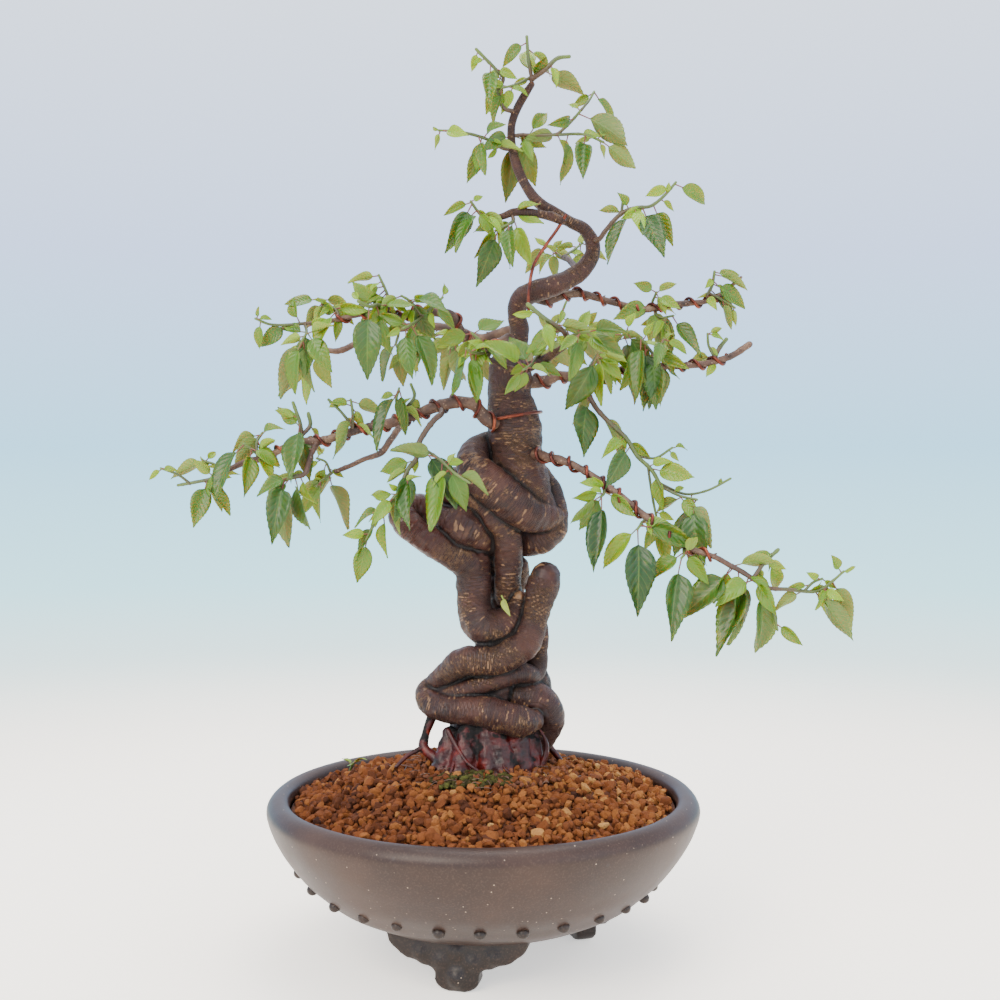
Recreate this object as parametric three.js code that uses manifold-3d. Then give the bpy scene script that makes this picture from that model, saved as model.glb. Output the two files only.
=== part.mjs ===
// Bonsai tree in a pot: a coiled old trunk with wired branches and leafy shoots, growing in
// granular soil in a round, unglazed pot that stands on three cloud-shaped feet.
// Millimetres, +Z up. The origin is at the middle of the underside of the whole object's box.
import * as THREE from 'three';
import { mergeVertices } from 'three/addons/utils/BufferGeometryUtils.js';
import Module from 'manifold-3d';

const wasm = await Module();
wasm.setup();

// ---------------------------------------------------------------- driving dimensions

const clearance = 0.3; // the gap kept between pieces that touch

const potRadius = 130; // at the bulge
const potHeight = 97; // floor to rim
const potWall = 9;
const lipWidth = 14; // the rounded rim
const lipDrop = 6; // from the rim's top down to its inner edge
const footHeight = 28; // the bowl's underside above the floor
const footThickness = 13;
const footReach = 63; // from the pot's axis to the middle of a foot
const footTurn = 12; // degrees from the front to the first foot
const footCount = 3;
const studRadius = 3.4;
const studCount = 28;
const drainHoleRadius = 12;
const screenThickness = 1;
const screenMargin = 5; // how far the screen reaches past the drain hole

const soilRise = 19; // the crown of the soil above the pot's rim
const soilDip = 6; // the soil's edge below the pot's rim

const treeHeight = 441; // soil's crown to the highest leaf tip
const treeSpread = 419; // tip to tip across the branches
const trunkGirth = 1; // times the thicknesses below
const branchGirth = 1;
const leafLength = 1; // times the lengths below
const leafWidth = 0.46; // of its own length
const shortestLeaf = 15; // young leaves shorter than this are too small for a solid of their own
const wireRadius = 1;
const wirePitch = 12; // along a branch, for one turn

// The heights and spread that the places of the tree below are given for.
const givenHeight = 441;
const givenSpread = 419;

// ---------------------------------------------------------------- places of the tree
// Each point is [x, y, z, radius], from the soil's crown under the trunk.

const trunkStrands = {
  lower_front: [
    [30, -15, 26, 6.5], [24, -18, 26, 9.5], [15, -20, 28, 10], [5, -19, 31, 9.5], [-8, -15, 32, 9],
    [-22, -9, 32, 9], [-32, -2, 35, 8.5], [-34, 4, 40, 7.5], [-30, 6, 44, 6.5],
  ],
  diagonal: [
    [-33, 6, 39, 5.5], [-28, 2, 46, 7], [-23, -3, 51, 7.5], [-18, -8, 56, 8], [-11, -13, 61, 9],
    [-2, -16, 62, 9], [9, -18, 63, 9], [18, -18, 67, 9], [25, -17, 72, 9], [30, -15, 84, 8],
    [33, -13, 95, 8], [35, -12, 104, 10], [37, -12, 111, 9.5],
  ],
  lower_right: [
    [-16, 4, 36, 5.5], [-2, 4, 36, 7.5], [12, 2, 38, 9], [22, 0, 39, 10.5], [33, -1, 35, 11],
    [39, 1, 27, 11], [37, 4, 18, 10.5], [32, 6, 9, 10], [26, 6, -5, 9],
  ],
  slim_middle: [
    [-26, -4, 40, 3.5], [-16, -9, 42, 5], [-5, -12, 46, 6], [5, -13, 49, 6], [15, -12, 52, 6],
    [24, -8, 53, 6], [30, 0, 51, 6], [33, 5, 57, 6.5], [34, 5, 66, 5], [35, 6, 74, 5],
    [33, 8, 83, 5], [27, 11, 90, 6],
  ],
  cradle: [
    [-5, -2, 123, 9], [-5, -4, 108, 10], [-6, -5, 95, 10], [-2, -7, 84, 11.5], [5, -8, 80, 12.5],
    [14, -8, 83, 10.5], [20, -6, 90, 8], [22, -5, 97, 5.5],
  ],
  heart: [
    [0, -4, 20, 9], [6, -5, 38, 10], [10, -4, 56, 10],
  ],
  core: [
    [4, 6, 7, 18], [5, 10, 24, 16], [6, 12, 40, 15], [8, 11, 58, 15], [9, 8, 74, 13],
    [12, 8, 89, 10], [10, 10, 104, 8.5],
  ],
  elbow: [
    [-6, -3, 105, 10.5], [-7, -4, 116, 10.5], [-13, -6, 122, 10], [-22, -9, 127, 9.5], [-32, -12, 133, 8.5],
    [-42, -13, 140, 8.5], [-48, -9, 147, 8.5], [-46, 0, 151, 8.5], [-37, 6, 151, 9.5], [-29, 6, 146, 10],
  ],
  knuckle: [
    [-33, 7, 148, 7.5], [-25, 4, 145, 9.5], [-18, -2, 141, 12.5], [-11, -6, 140, 14],
    [-4, -4, 136, 11], [3, 0, 131, 8.5],
  ],
  inner_stem: [
    [-19, 14, 170, 7], [-22, 10, 163, 7], [-18, 3, 159, 7], [-10, -3, 158, 7.5], [-1, -8, 154, 7.5],
    [7, -10, 146, 8], [13, -9, 139, 8], [15, -6, 129, 9], [15, -3, 119, 8.5], [15, 0, 107, 8.5],
    [15, 4, 95, 8.5],
  ],
  upper_fold: [
    [15, 16, 190, 8.5], [4, 12, 190, 9], [-5, 3, 184, 10], [-6, -7, 177, 10.5], [0, -13, 170, 11.5],
    [9, -15, 162, 12], [19, -13, 154, 12.5], [28, -8, 149, 11.5], [37, -2, 147, 9], [43, 4, 146, 7.5],
  ],
  main: [
    [15, 0, 238, 11.5], [16, 0, 230, 13], [16, 0, 218, 13.5], [18, 0, 207, 15.5], [19, 0, 199, 16.5],
    [20, 1, 190, 15.5], [21, 1, 180, 15], [24, 0, 170, 15.5], [28, 0, 159, 14.5], [34, 2, 150, 11.5],
  ],
  return_loop: [
    [35, 8, 172, 6.5], [41, 8, 160, 7.5], [43, 7, 151, 8], [42, 6, 141, 9.5], [35, 6, 134, 10.5],
    [27, 9, 132, 10], [17, 14, 132, 9.5], [9, 17, 124, 9], [6, 16, 110, 9], [8, 14, 92, 9],
  ],
  back_wrap: [
    [22, 14, 116, 6], [20, 21, 107, 8], [10, 25, 94, 9], [1, 22, 83, 9], [-1, 15, 75, 8],
    [3, 7, 70, 6.5],
  ],
  back_coil: [
    [-25, 9, 32, 8], [-14, 16, 42, 9.5], [3, 20, 52, 10.5], [20, 16, 59, 10], [30, 9, 50, 9],
    [33, 12, 34, 9.5], [24, 18, 16, 10],
  ],
  leader: [
    [17, 2, 234, 8], [20, 6, 247, 6], [22, 6, 260, 6], [20, 4, 270, 5.5], [23, 0, 278, 6.5],
    [31, -3, 282, 6.5], [41, -3, 285, 6.5], [50, 0, 289, 6], [60, 3, 296, 5.5], [66, 5, 306, 4.5],
    [66, 5, 312, 4.5], [61, 3, 320, 4], [52, 0, 324, 3.5], [43, -2, 329, 3.5], [33, -3, 335, 3.5],
    [26, -3, 344, 3], [20, -2, 357, 3], [17, 0, 371, 2.5], [17, 0, 382, 2.5], [20, 0, 391, 2.5],
    [25, 0, 400, 2.5], [29, 0, 406, 2],
  ],
};

const branches = {
  branch_left_lower: [
    [
      [3, -14, 204, 4], [-5, -18, 213, 3.5], [-13, -20, 215, 3.5], [-20, -20, 214, 3.5],
      [-28, -20, 212, 3.5], [-38, -20, 208, 3], [-49, -20, 204, 3], [-61, -20, 201, 3],
      [-71, -22, 199, 2.5], [-81, -24, 196, 2.5], [-94, -26, 192, 2.5], [-107, -26, 191, 2.5],
      [-118, -24, 187, 2], [-128, -22, 182, 2], [-138, -22, 180, 2], [-150, -22, 175, 1.5],
    ],
    [
      [-46, -19, 205, 2], [-52, -6, 198, 2], [-57, 2, 192, 2], [-63, 8, 185, 2], [-72, 12, 182, 1.5],
      [-81, 14, 178, 1.5], [-91, 14, 174, 1.5],
    ],
    [
      [-96, -26, 192, 2], [-99, -34, 184, 1.5], [-101, -40, 174, 1.5],
    ],
  ],
  branch_left_upper: [
    [
      [16, -2, 253, 3.5], [10, -10, 250, 3], [4, -14, 246, 3], [-5, -18, 247, 3], [-13, -22, 256, 3],
      [-18, -26, 265, 2.5], [-26, -30, 266, 2.5], [-38, -34, 266, 2.5], [-48, -36, 263, 2],
      [-59, -38, 265, 2], [-71, -38, 264, 1.5], [-84, -38, 261, 1.5], [-98, -38, 259, 1],
    ],
  ],
  branch_left_middle: [
    [
      [17, 16, 261, 3], [8, 22, 259, 3], [-2, 26, 257, 2.5], [-18, 32, 263, 2.5], [-33, 34, 265, 2.5],
      [-54, 36, 264, 2.5], [-74, 38, 258, 2], [-92, 38, 250, 2], [-102, 38, 251, 1.5],
    ],
  ],
  branch_right_middle: [
    [
      [27, 4, 228, 4], [38, 4, 229, 3.5], [45, 4, 232, 3], [55, 4, 231, 3], [65, 4, 232, 2.5],
      [77, 4, 234, 2.5], [89, 4, 237, 2], [105, 4, 238, 2], [121, 4, 238, 2], [138, 4, 240, 2],
      [152, 4, 245, 2], [161, 4, 251, 2],
    ],
  ],
  branch_right_upper: [
    [
      [33, 8, 279, 3], [39, 10, 278, 3], [47, 12, 281, 2.5], [59, 14, 283, 2.5], [71, 16, 280, 2],
      [80, 18, 278, 2], [93, 20, 275, 2], [101, 20, 274, 2], [113, 22, 277, 2], [126, 22, 278, 2],
      [137, 22, 279, 1.5], [145, 22, 282, 1.5], [159, 22, 294, 1],
    ],
  ],
  branch_cascade: [
    [
      [34, -14, 184, 3], [39, -20, 182, 2.5], [45, -25, 181, 2.5], [56, -32, 176, 2],
      [70, -38, 167, 2], [80, -44, 159, 2], [91, -48, 150, 2], [101, -52, 142, 2], [111, -54, 134, 2],
      [122, -56, 129, 1.5], [131, -56, 126, 1.5], [140, -56, 121, 1.5],
    ],
  ],
};

// Short limbs that leave the trunk and are one piece with it.
const trunkSpurs = {
  front: [
    [
      [23, -14, 234, 3.5], [29, -26, 236, 3], [37, -44, 239, 2.5], [43, -58, 242, 2],
      [49, -70, 245, 1.5],
    ],
    [
      [24, -17, 233, 2.5], [15, -30, 234, 2], [7, -38, 237, 1.5], [1, -46, 239, 1.5],
    ],
  ],
  crown_left: [
    [
      [47, -8, 323, 2.5], [41, -11, 325, 3], [35, -12, 326, 2.5], [28, -13, 327, 2.5],
      [18, -14, 327, 2.5], [11, -16, 324, 2], [4, -18, 323, 1.5],
    ],
  ],
  back_upper: [
    [
      [57, 14, 298, 2.5], [55, 26, 303, 2], [53, 40, 308, 2], [51, 52, 311, 2],
    ],
  ],
  back_lower: [
    [
      [18, 20, 239, 3], [21, 36, 247, 3], [27, 54, 252, 2.5], [31, 70, 256, 2],
    ],
    [
      [20, 28, 243, 2], [10, 46, 251, 2], [-3, 62, 257, 1.5],
    ],
  ],
};

const shoots = {
  apex_top: [
    { line: [[29, 0, 409], [27, -2, 420], [26, -4, 433]], girth: [1.2, 0.9],
      leaves: [[0.88, -58, 18], [0.75, 55, 17], [0.25, -168, 23], [0.12, 150, 16]] },
    { line: [[29, 0, 409], [37, -6, 413], [44, -8, 419], [51, -8, 420]], girth: [1.6, 1.1],
      leaves: [[0.35, 66, 26], [0.55, 10, 14]] },
    { line: [[28, 0, 410], [19, -6, 404], [11, -10, 401]], girth: [0.9, 0.7],
      leaves: [[1, -15, 21], [0.8, -100, 14], [0.6, -30, 16]] },
  ],
  apex_crown: [
    { line: [[12, -4, 391], [9, -5, 400], [5, -6, 407]], girth: [1.4, 1.1],
      leaves: [[0.3, -170, 14]] },
    { line: [[9, -5, 400], [12, -7, 408], [9, -8, 411], [-4, -12, 423]], girth: [1.1, 1],
      leaves: [[0.62, -4, 24], [0.95, -28, 10], [0.5, 70, 14], [0.75, -80, 9], [0.35, -20, 21]] },
  ],
  apex_left: [
    { line: [[12, -3, 367], [3, -8, 371], [-8, -14, 373], [-18, -16, 374], [-26, -18, 374]],
        girth: [1.1, 0.7],
      leaves: [[0.26, 85, 17], [0.3, -40, 24], [0.5, 14, 23], [0.45, -12, 18], [0.95, 72, 16],
        [1, -22, 10], [1, -130, 6]] },
  ],
  apex_right: [
    { line: [[21, 1, 376], [31, -3, 375], [44, -8, 374], [60, -12, 373], [71, -14, 368]],
        girth: [1.2, 0.7],
      leaves: [[0.1, 14, 27], [0.04, -4, 31], [0.2, 150, 21], [0.62, -8, 24], [0.8, -10, 26],
        [0.96, 14, 10], [1, 48, 24], [0.88, -80, 10]] },
    { line: [[44, -8, 374], [51, -10, 380], [58, -14, 387]], girth: [1, 0.8],
      leaves: [[0.12, -82, 23], [0.85, 58, 33], [0.95, -130, 9]] },
    { line: [[58, -14, 387], [63, -10, 394], [66, -6, 400]], girth: [0.8, 0.7],
      leaves: [[1, 38, 21], [0.9, -65, 14]] },
  ],
  crown_right: [
    { line: [[69, -2, 313], [74, -6, 319], [82, -10, 327], [90, -12, 330], [99, -12, 331],
        [107, -12, 337], [114, -12, 345]], girth: [1.6, 0.8],
      leaves: [[0.52, -26, 33], [0.55, 12, 16], [0.62, 18, 31], [0.72, 22, 26], [1, 68, 21],
        [0.95, -75, 16], [0.8, 60, 10], [0.5, -150, 14], [0.86, 170, 8]] },
    { line: [[82, -10, 327], [83, -12, 336]], girth: [0.9, 0.8],
      leaves: [] },
  ],
  crown_left: [
    { line: [[1, -18, 323], [-3, -22, 326], [-7, -26, 331]], girth: [1.1, 0.7],
      leaves: [[0.9, -28, 31], [0.6, -24, 24], [0.95, -72, 17], [0.5, 62, 17], [1, 120, 8]] },
  ],
  crown_left_inner: [
    { line: [[18, -16, 322], [15, -19, 319], [9, -21, 316]], girth: [1.1, 0.7],
      leaves: [[1, -24, 33], [0.6, 8, 24], [0.9, -52, 21], [0.25, 24, 27], [0.1, 0, 26]] },
  ],
  crown_back: [
    { line: [[50, 57, 312], [46, 66, 317], [42, 78, 323]], girth: [0.9, 0.7],
      leaves: [[0.5, -40, 18], [1, -50, 21], [0.9, 60, 17], [0.7, 8, 18]] },
    { line: [[50, 57, 312], [57, 62, 317], [64, 68, 323]], girth: [0.9, 0.7],
      leaves: [[0.5, 30, 17], [1, 70, 18], [0.9, -20, 17], [0.8, 160, 10]] },
  ],
  right_upper_tip: [
    { line: [[138, 21, 282], [141, 20, 289], [142, 18, 297]], girth: [1.1, 0.8],
      leaves: [[1, 88, 16], [0.9, 70, 21], [0.6, 66, 24], [0.4, 56, 21], [0.8, -45, 9]] },
    { line: [[139, 21, 284], [149, 20, 279], [155, 20, 275]], girth: [1, 0.7],
      leaves: [[0.5, 18, 17], [0.95, 8, 10]] },
  ],
  right_upper_mid: [
    { line: [[104, 20, 278], [105, 18, 281], [106, 16, 284]], girth: [0.9, 0.7],
      leaves: [[0.2, -76, 26], [1, -120, 16], [0.9, 125, 16], [0.7, 70, 16], [1, 20, 14]] },
  ],
  right_upper_under: [
    { line: [[106, 22, 272], [109, 20, 269], [117, 19, 270]], girth: [0.9, 0.7],
      leaves: [[0.05, 34, 27], [0.95, 34, 27], [0.7, -5, 17], [0.4, 10, 23]] },
  ],
  right_mid_tip: [
    { line: [[140, 4, 243], [136, 2, 250], [135, 0, 257]], girth: [0.9, 0.7],
      leaves: [[1, 70, 10], [1, 115, 9], [0.2, -72, 17], [0.6, 42, 8]] },
    { line: [[140, 4, 243], [143, 4, 249], [147, 4, 254]], girth: [1.4, 1.2],
      leaves: [] },
  ],
  right_mid_outer: [
    { line: [[105, 2, 241], [107, -6, 247], [107, -12, 253]], girth: [1.1, 0.7],
      leaves: [[0.5, -22, 33], [0.2, 14, 23], [1, -28, 18], [0.8, 26, 17], [1, 64, 16], [0.6, -120, 14],
        [0.9, 130, 9]] },
    { line: [[105, 2, 241], [98, -14, 247], [92, -24, 252]], girth: [1, 0.7],
      leaves: [[1, -6, 33], [0.8, 12, 33], [0.6, -34, 26], [0.9, 150, 14], [0.4, 4, 31]] },
  ],
  right_mid_inner: [
    { line: [[78, 2, 238], [77, -8, 245], [80, -14, 252], [85, -18, 257]], girth: [1.2, 0.7],
      leaves: [[1, 38, 26], [0.9, 18, 36], [0.6, -60, 18], [0.75, 100, 17], [1, 160, 14],
        [0.3, -38, 21], [0.4, 68, 21]] },
    { line: [[77, -8, 245], [69, -10, 250], [63, -10, 255]], girth: [0.9, 0.7],
      leaves: [[1, -42, 18], [0.8, -95, 16], [0.9, 120, 16], [0.5, 18, 23]] },
  ],
  center_right: [
    { line: [[64, 2, 235], [65, -18, 239], [67, -34, 243]], girth: [1.1, 0.7],
      leaves: [[1, -26, 34], [0.9, 8, 26], [0.7, 34, 21], [1, 72, 17]] },
  ],
  center_fork: [
    { line: [[47, -66, 248], [43, -74, 252], [34, -80, 257], [25, -84, 264]], girth: [1.5, 1.2],
      leaves: [[0.1, 36, 17], [0.35, -60, 21], [0.5, 78, 21], [0.8, -100, 14], [0.7, 20, 17]] },
    { line: [[47, -66, 248], [53, -80, 249], [58, -88, 249]], girth: [1.1, 0.7],
      leaves: [[0.6, -12, 24], [0.85, 58, 23], [1, 92, 21], [0.5, 150, 17]] },
  ],
  center_front: [
    { line: [[32, -38, 240], [27, -50, 234], [23, -58, 231]], girth: [1, 0.7],
      leaves: [[1, -36, 16], [0.85, 82, 14], [0.9, -128, 30], [0.7, -155, 23], [0.6, 165, 26]] },
    { line: [[32, -38, 240], [42, -50, 257], [47, -56, 269]], girth: [0.9, 0.7],
      leaves: [[0.75, 58, 16], [0.5, -50, 16], [0.9, -20, 9], [0.4, 80, 17]] },
  ],
  center_left_front: [
    { line: [[4, -46, 240], [1, -44, 246], [-6, -44, 253]], girth: [1, 0.7],
      leaves: [[1, -84, 21], [0.9, -32, 17], [0.95, 128, 21], [0.7, 42, 21], [0.45, 74, 23],
        [0.6, -14, 17]] },
    { line: [[3, -46, 241], [-5, -52, 241], [-9, -56, 243]], girth: [0.9, 0.7],
      leaves: [[1, -20, 23], [0.8, 14, 24], [0.5, -6, 24]] },
  ],
  center_left: [
    { line: [[-18, 32, 259], [-18, 30, 254], [-21, 28, 251]], girth: [0.9, 0.7],
      leaves: [[1, -12, 24], [0.6, 16, 23], [0.4, -60, 17], [0.8, -100, 14]] },
  ],
  left_upper_end: [
    { line: [[-101, -38, 259], [-110, -40, 258], [-121, -42, 258], [-129, -44, 261]], girth: [1, 0.7],
      leaves: [[0.9, -8, 14], [1, 165, 8], [0.98, 100, 10], [0.4, -58, 21], [0.2, -168, 18],
        [0.55, 80, 10]] },
    { line: [[-102, -38, 259], [-100, -44, 253], [-102, -48, 248]], girth: [0.9, 0.7],
      leaves: [[0.3, -2, 26], [0.5, 34, 26], [0.8, -26, 33], [1, -14, 27], [0.9, 16, 26]] },
  ],
  left_upper_top: [
    { line: [[-83, -36, 265], [-87, -34, 269], [-95, -32, 274]], girth: [1, 0.7],
      leaves: [[1, -84, 18], [0.9, 82, 18], [0.7, 58, 18], [0.4, 100, 21], [0.8, -40, 18],
        [0.3, -20, 26]] },
  ],
  left_upper_mid: [
    { line: [[-54, -40, 267], [-59, -50, 268], [-63, -60, 266], [-68, -66, 268]], girth: [1.1, 1],
      leaves: [[0.75, -4, 38], [0.5, 20, 27], [0.3, -36, 24], [1, -150, 9]] },
    { line: [[-54, -40, 267], [-54, -41, 274], [-59, -42, 286]], girth: [1.1, 0.7],
      leaves: [[1, -84, 18], [0.55, -58, 24], [0.4, -30, 23], [0.65, -80, 17], [0.3, 60, 14]] },
  ],
  left_upper_inner: [
    { line: [[-35, -38, 263], [-40, -50, 257], [-44, -58, 254]], girth: [1, 0.7],
      leaves: [[0.7, 24, 33], [0.9, 4, 27], [1, -70, 10], [0.4, -24, 23]] },
    { line: [[-35, -38, 263], [-41, -42, 271], [-46, -44, 274]], girth: [0.9, 0.7],
      leaves: [[1, -60, 14], [0.7, 72, 23], [0.8, 38, 24], [0.5, -30, 14], [0.6, 110, 14]] },
    { line: [[-35, -38, 263], [-28, -38, 269], [-23, -36, 274]], girth: [0.9, 0.7],
      leaves: [[1, 172, 10], [0.8, -52, 16], [0.6, 42, 17]] },
  ],
  left_mid_under: [
    { line: [[-54, 36, 260], [-55, 32, 253], [-47, 28, 245]], girth: [0.9, 0.7],
      leaves: [[1, 40, 10], [0.9, -62, 14], [0.5, 10, 24], [0.3, -18, 26]] },
  ],
  left_mid_end: [
    { line: [[-106, 38, 251], [-110, 36, 248], [-114, 34, 246]], girth: [0.9, 0.7],
      leaves: [[1, -34, 26], [0.9, 8, 26], [0.5, 26, 23], [0.6, -100, 16]] },
  ],
  left_lower_tip: [
    { line: [[-153, -22, 174], [-159, -22, 170], [-168, -22, 168], [-179, -22, 166]], girth: [1.2, 0.9],
      leaves: [[0.42, -14, 26], [0.5, 44, 24], [0.3, 10, 18]] },
    { line: [[-172, -22, 167], [-178, -24, 172], [-188, -26, 176]], girth: [0.9, 0.7],
      leaves: [[0.95, -62, 10], [1, 84, 10]] },
    { line: [[-153, -22, 174], [-157, -22, 178], [-163, -22, 180]], girth: [1, 0.7],
      leaves: [[0.9, -78, 23], [0.5, -125, 12], [1, 150, 9], [0.3, -8, 17]] },
  ],
  left_lower_outer: [
    { line: [[-132, -24, 184], [-135, -26, 187], [-139, -28, 190]], girth: [1, 0.7],
      leaves: [[1, -26, 33], [0.6, -8, 23], [0.3, 32, 17]] },
    { line: [[-132, -24, 184], [-133, -20, 191], [-130, -18, 197]], girth: [0.9, 0.7],
      leaves: [[0.9, -68, 21], [1, -48, 24], [0.8, 110, 17], [0.4, 60, 16]] },
  ],
  left_lower_middle: [
    { line: [[-106, -26, 195], [-106, -28, 201], [-110, -30, 214]], girth: [1.3, 1],
      leaves: [[0.3, -24, 21], [0.5, -4, 30], [0.2, 12, 24], [0.6, -120, 14]] },
    { line: [[-106, -26, 195], [-101, -24, 201], [-102, -24, 208]], girth: [1.3, 1.1],
      leaves: [[0.5, 30, 9]] },
  ],
  left_lower_under: [
    { line: [[-103, -40, 172], [-108, -42, 171], [-114, -44, 169]], girth: [1.4, 1.1],
      leaves: [[0.9, -12, 33], [1, -4, 36], [0.5, 20, 30], [0.7, -26, 21], [0.3, 34, 18]] },
  ],
  left_lower_top: [
    { line: [[-76, -25, 200], [-76, -26, 209], [-77, -26, 216]], girth: [1, 0.7],
      leaves: [[1, -82, 14], [0.95, 78, 21], [0.8, -108, 14], [0.55, -28, 23]] },
    { line: [[-76, -25, 200], [-82, -25, 208], [-90, -25, 216]], girth: [0.9, 0.8],
      leaves: [[0.4, 40, 10]] },
  ],
  left_lower_root: [
    { line: [[-48, -24, 208], [-50, -32, 215], [-48, -36, 222]], girth: [1, 0.7],
      leaves: [[0.95, -16, 31], [1, 14, 23], [0.8, -92, 10], [0.5, 50, 17]] },
    { line: [[-48, -24, 208], [-40, -24, 218], [-42, -24, 225]], girth: [1.1, 0.9],
      leaves: [[0.7, 12, 14]] },
  ],
  left_inner: [
    { line: [[-94, 14, 173], [-97, 12, 170], [-100, 10, 168]], girth: [0.9, 0.7],
      leaves: [[0.4, 16, 31], [0.9, -36, 24], [0.7, -62, 18], [1, 5, 21]] },
    { line: [[-94, 14, 173], [-97, 12, 180], [-102, 10, 182]], girth: [0.8, 0.7],
      leaves: [[0.8, -60, 10], [0.5, -16, 17], [1, 150, 9]] },
  ],
  left_hanging: [
    { line: [[-24, -28, 208], [-28, -32, 204], [-33, -36, 197], [-37, -40, 189], [-38, -42, 181],
        [-42, -44, 176], [-45, -46, 169], [-47, -48, 163], [-52, -48, 157], [-55, -48, 151],
        [-61, -48, 145], [-66, -48, 135]], girth: [1.8, 0.8],
      leaves: [[1, -16, 24], [0.88, -32, 23], [0.8, -70, 18], [0.82, 8, 23], [0.7, -46, 18],
        [0.68, -100, 16], [0.64, 2, 23], [0.5, -14, 30], [0.54, 4, 30], [0.45, -78, 21]] },
    { line: [[-37, -40, 189], [-24, -52, 181], [-15, -60, 173], [-7, -64, 168]], girth: [1, 0.7],
      leaves: [[0.12, 34, 36], [0.6, 150, 10], [0.6, 30, 24], [0.5, -14, 36], [0.75, 58, 21]] },
  ],
  cascade_leafy: [
    { line: [[70, -40, 164], [69, -44, 161], [67, -48, 160]], girth: [0.9, 0.7],
      leaves: [[0.9, -4, 36], [1, -55, 21], [0.6, -34, 23], [0.4, 60, 21], [0.2, -110, 16]] },
  ],
  cascade_middle: [
    { line: [[91, -50, 146], [89, -54, 144], [87, -58, 142]], girth: [0.9, 0.7],
      leaves: [[1, -3, 43], [0.7, -40, 30], [0.5, 60, 18]] },
  ],
  cascade_dark: [
    { line: [[113, -57, 130], [113, -60, 128], [111, -62, 126]], girth: [0.9, 0.7],
      leaves: [[1, -10, 41], [0.5, -48, 24], [0.4, 40, 21], [0.7, 150, 14]] },
  ],
  cascade_tip: [
    { line: [[144, -56, 119], [152, -56, 114], [160, -56, 109], [172, -56, 108], [188, -56, 107],
        [196, -56, 112], [203, -56, 118]], girth: [1.5, 0.7],
      leaves: [[0.02, -50, 40], [0.06, -10, 38], [0.16, -28, 43], [0.2, 40, 21], [0.27, -2, 38],
        [0.62, -58, 18], [0.72, 45, 18], [0.76, 28, 30], [0.88, 32, 26], [0.84, 4, 18],
        [0.98, -150, 14], [1, 120, 10]] },
    { line: [[152, -56, 114], [159, -54, 123], [167, -52, 130]], girth: [1.2, 1.1],
      leaves: [[0.95, -72, 18], [0.4, -10, 10], [0.65, 28, 18]] },
    { line: [[181, -56, 107], [186, -56, 112], [191, -56, 114]], girth: [0.8, 0.7],
      leaves: [[0.4, -80, 14], [0.9, -120, 10], [1, 60, 10]] },
    { line: [[161, -56, 109], [163, -56, 99], [166, -56, 85]], girth: [0.8, 0.7],
      leaves: [[0.85, 58, 16]] },
  ],
  right_hanging: [
    { line: [[62, -4, 226], [63, -12, 219], [67, -18, 211], [73, -22, 204], [84, -26, 193],
        [90, -28, 183], [98, -30, 175], [104, -32, 164]], girth: [1.7, 1.1],
      leaves: [[0.1, -24, 23], [0.22, -14, 33], [0.35, 26, 30], [0.66, -36, 26], [0.6, -50, 18],
        [0.85, 82, 24], [0.88, 20, 21]] },
    { line: [[104, -32, 165], [114, -36, 160], [123, -40, 158]], girth: [0.9, 0.7],
      leaves: [[1, -22, 33], [0.9, 5, 40], [0.6, -60, 16], [0.8, 28, 26], [0.5, 40, 18]] },
    { line: [[103, -32, 167], [118, -28, 161], [131, -26, 163], [145, -24, 170]], girth: [0.8, 0.7],
      leaves: [[0.45, -10, 10], [0.8, 150, 6]] },
    { line: [[96, -29, 177], [99, -28, 158], [102, -26, 145]], girth: [0.8, 0.7],
      leaves: [[1, 20, 24], [0.95, -30, 18]] },
    { line: [[90, -28, 183], [101, -24, 182], [111, -22, 188]], girth: [0.8, 0.7],
      leaves: [[1, 88, 10], [0.9, 40, 8]] },
  ],
  back_low_right: [
    { line: [[32, 75, 258], [40, 88, 264], [55, 100, 270], [69, 108, 272]], girth: [1.2, 0.7],
      leaves: [[0.2, -30, 26], [0.4, 40, 26], [0.6, -10, 27], [0.8, 60, 26], [1, 20, 26],
        [0.95, 110, 18], [0.5, 150, 18]] },
  ],
  back_low_left: [
    { line: [[-6, 66, 258], [-15, 80, 262], [-26, 94, 266], [-39, 104, 267]], girth: [1.2, 0.7],
      leaves: [[0.2, 30, 26], [0.4, -40, 26], [0.6, 10, 27], [0.8, -60, 26], [1, -20, 26],
        [0.95, -110, 18], [0.5, -150, 18]] },
  ],
};

// Copper wires: the limb that a wire winds round, where along it, and its first turn's angle.
const wires = {
  wire_left_lower: { on: ['branch_left_lower', 0], from: 0.06, to: 0.86, phase: 0.5 },
  wire_left_upper: { on: ['branch_left_upper', 0], from: 0.18, to: 0.9, phase: 0.5 },
  wire_right_upper: { on: ['branch_right_upper', 0], from: 0.08, to: 0.86, phase: 0.4 },
  wire_right_middle: { on: ['branch_right_middle', 0], from: 0.08, to: 0.9, phase: 0.1 },
  wire_cascade: { on: ['branch_cascade', 0], from: 0.1, to: 0.92, phase: 0.3 },
};

// A guy wire from the leader's foot to its first bend.
const guyWire = [
  [27, -13, 266], [27, -15, 280], [30, -14, 296], [37, -10, 308], [44, -8, 318], [49, -10, 326],
];

// Moss on the soil: x, y, and half sizes.
const mossPatch = { x: -8, y: -36, half: [30, 13, 5] };

const seedling = { at: [-88, 52], height: 9, leafCount: 4, leafLength: 10 };
const fallenLeaf = { at: [11, -22, 101], length: 12 };

// ---------------------------------------------------------------- colours

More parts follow.
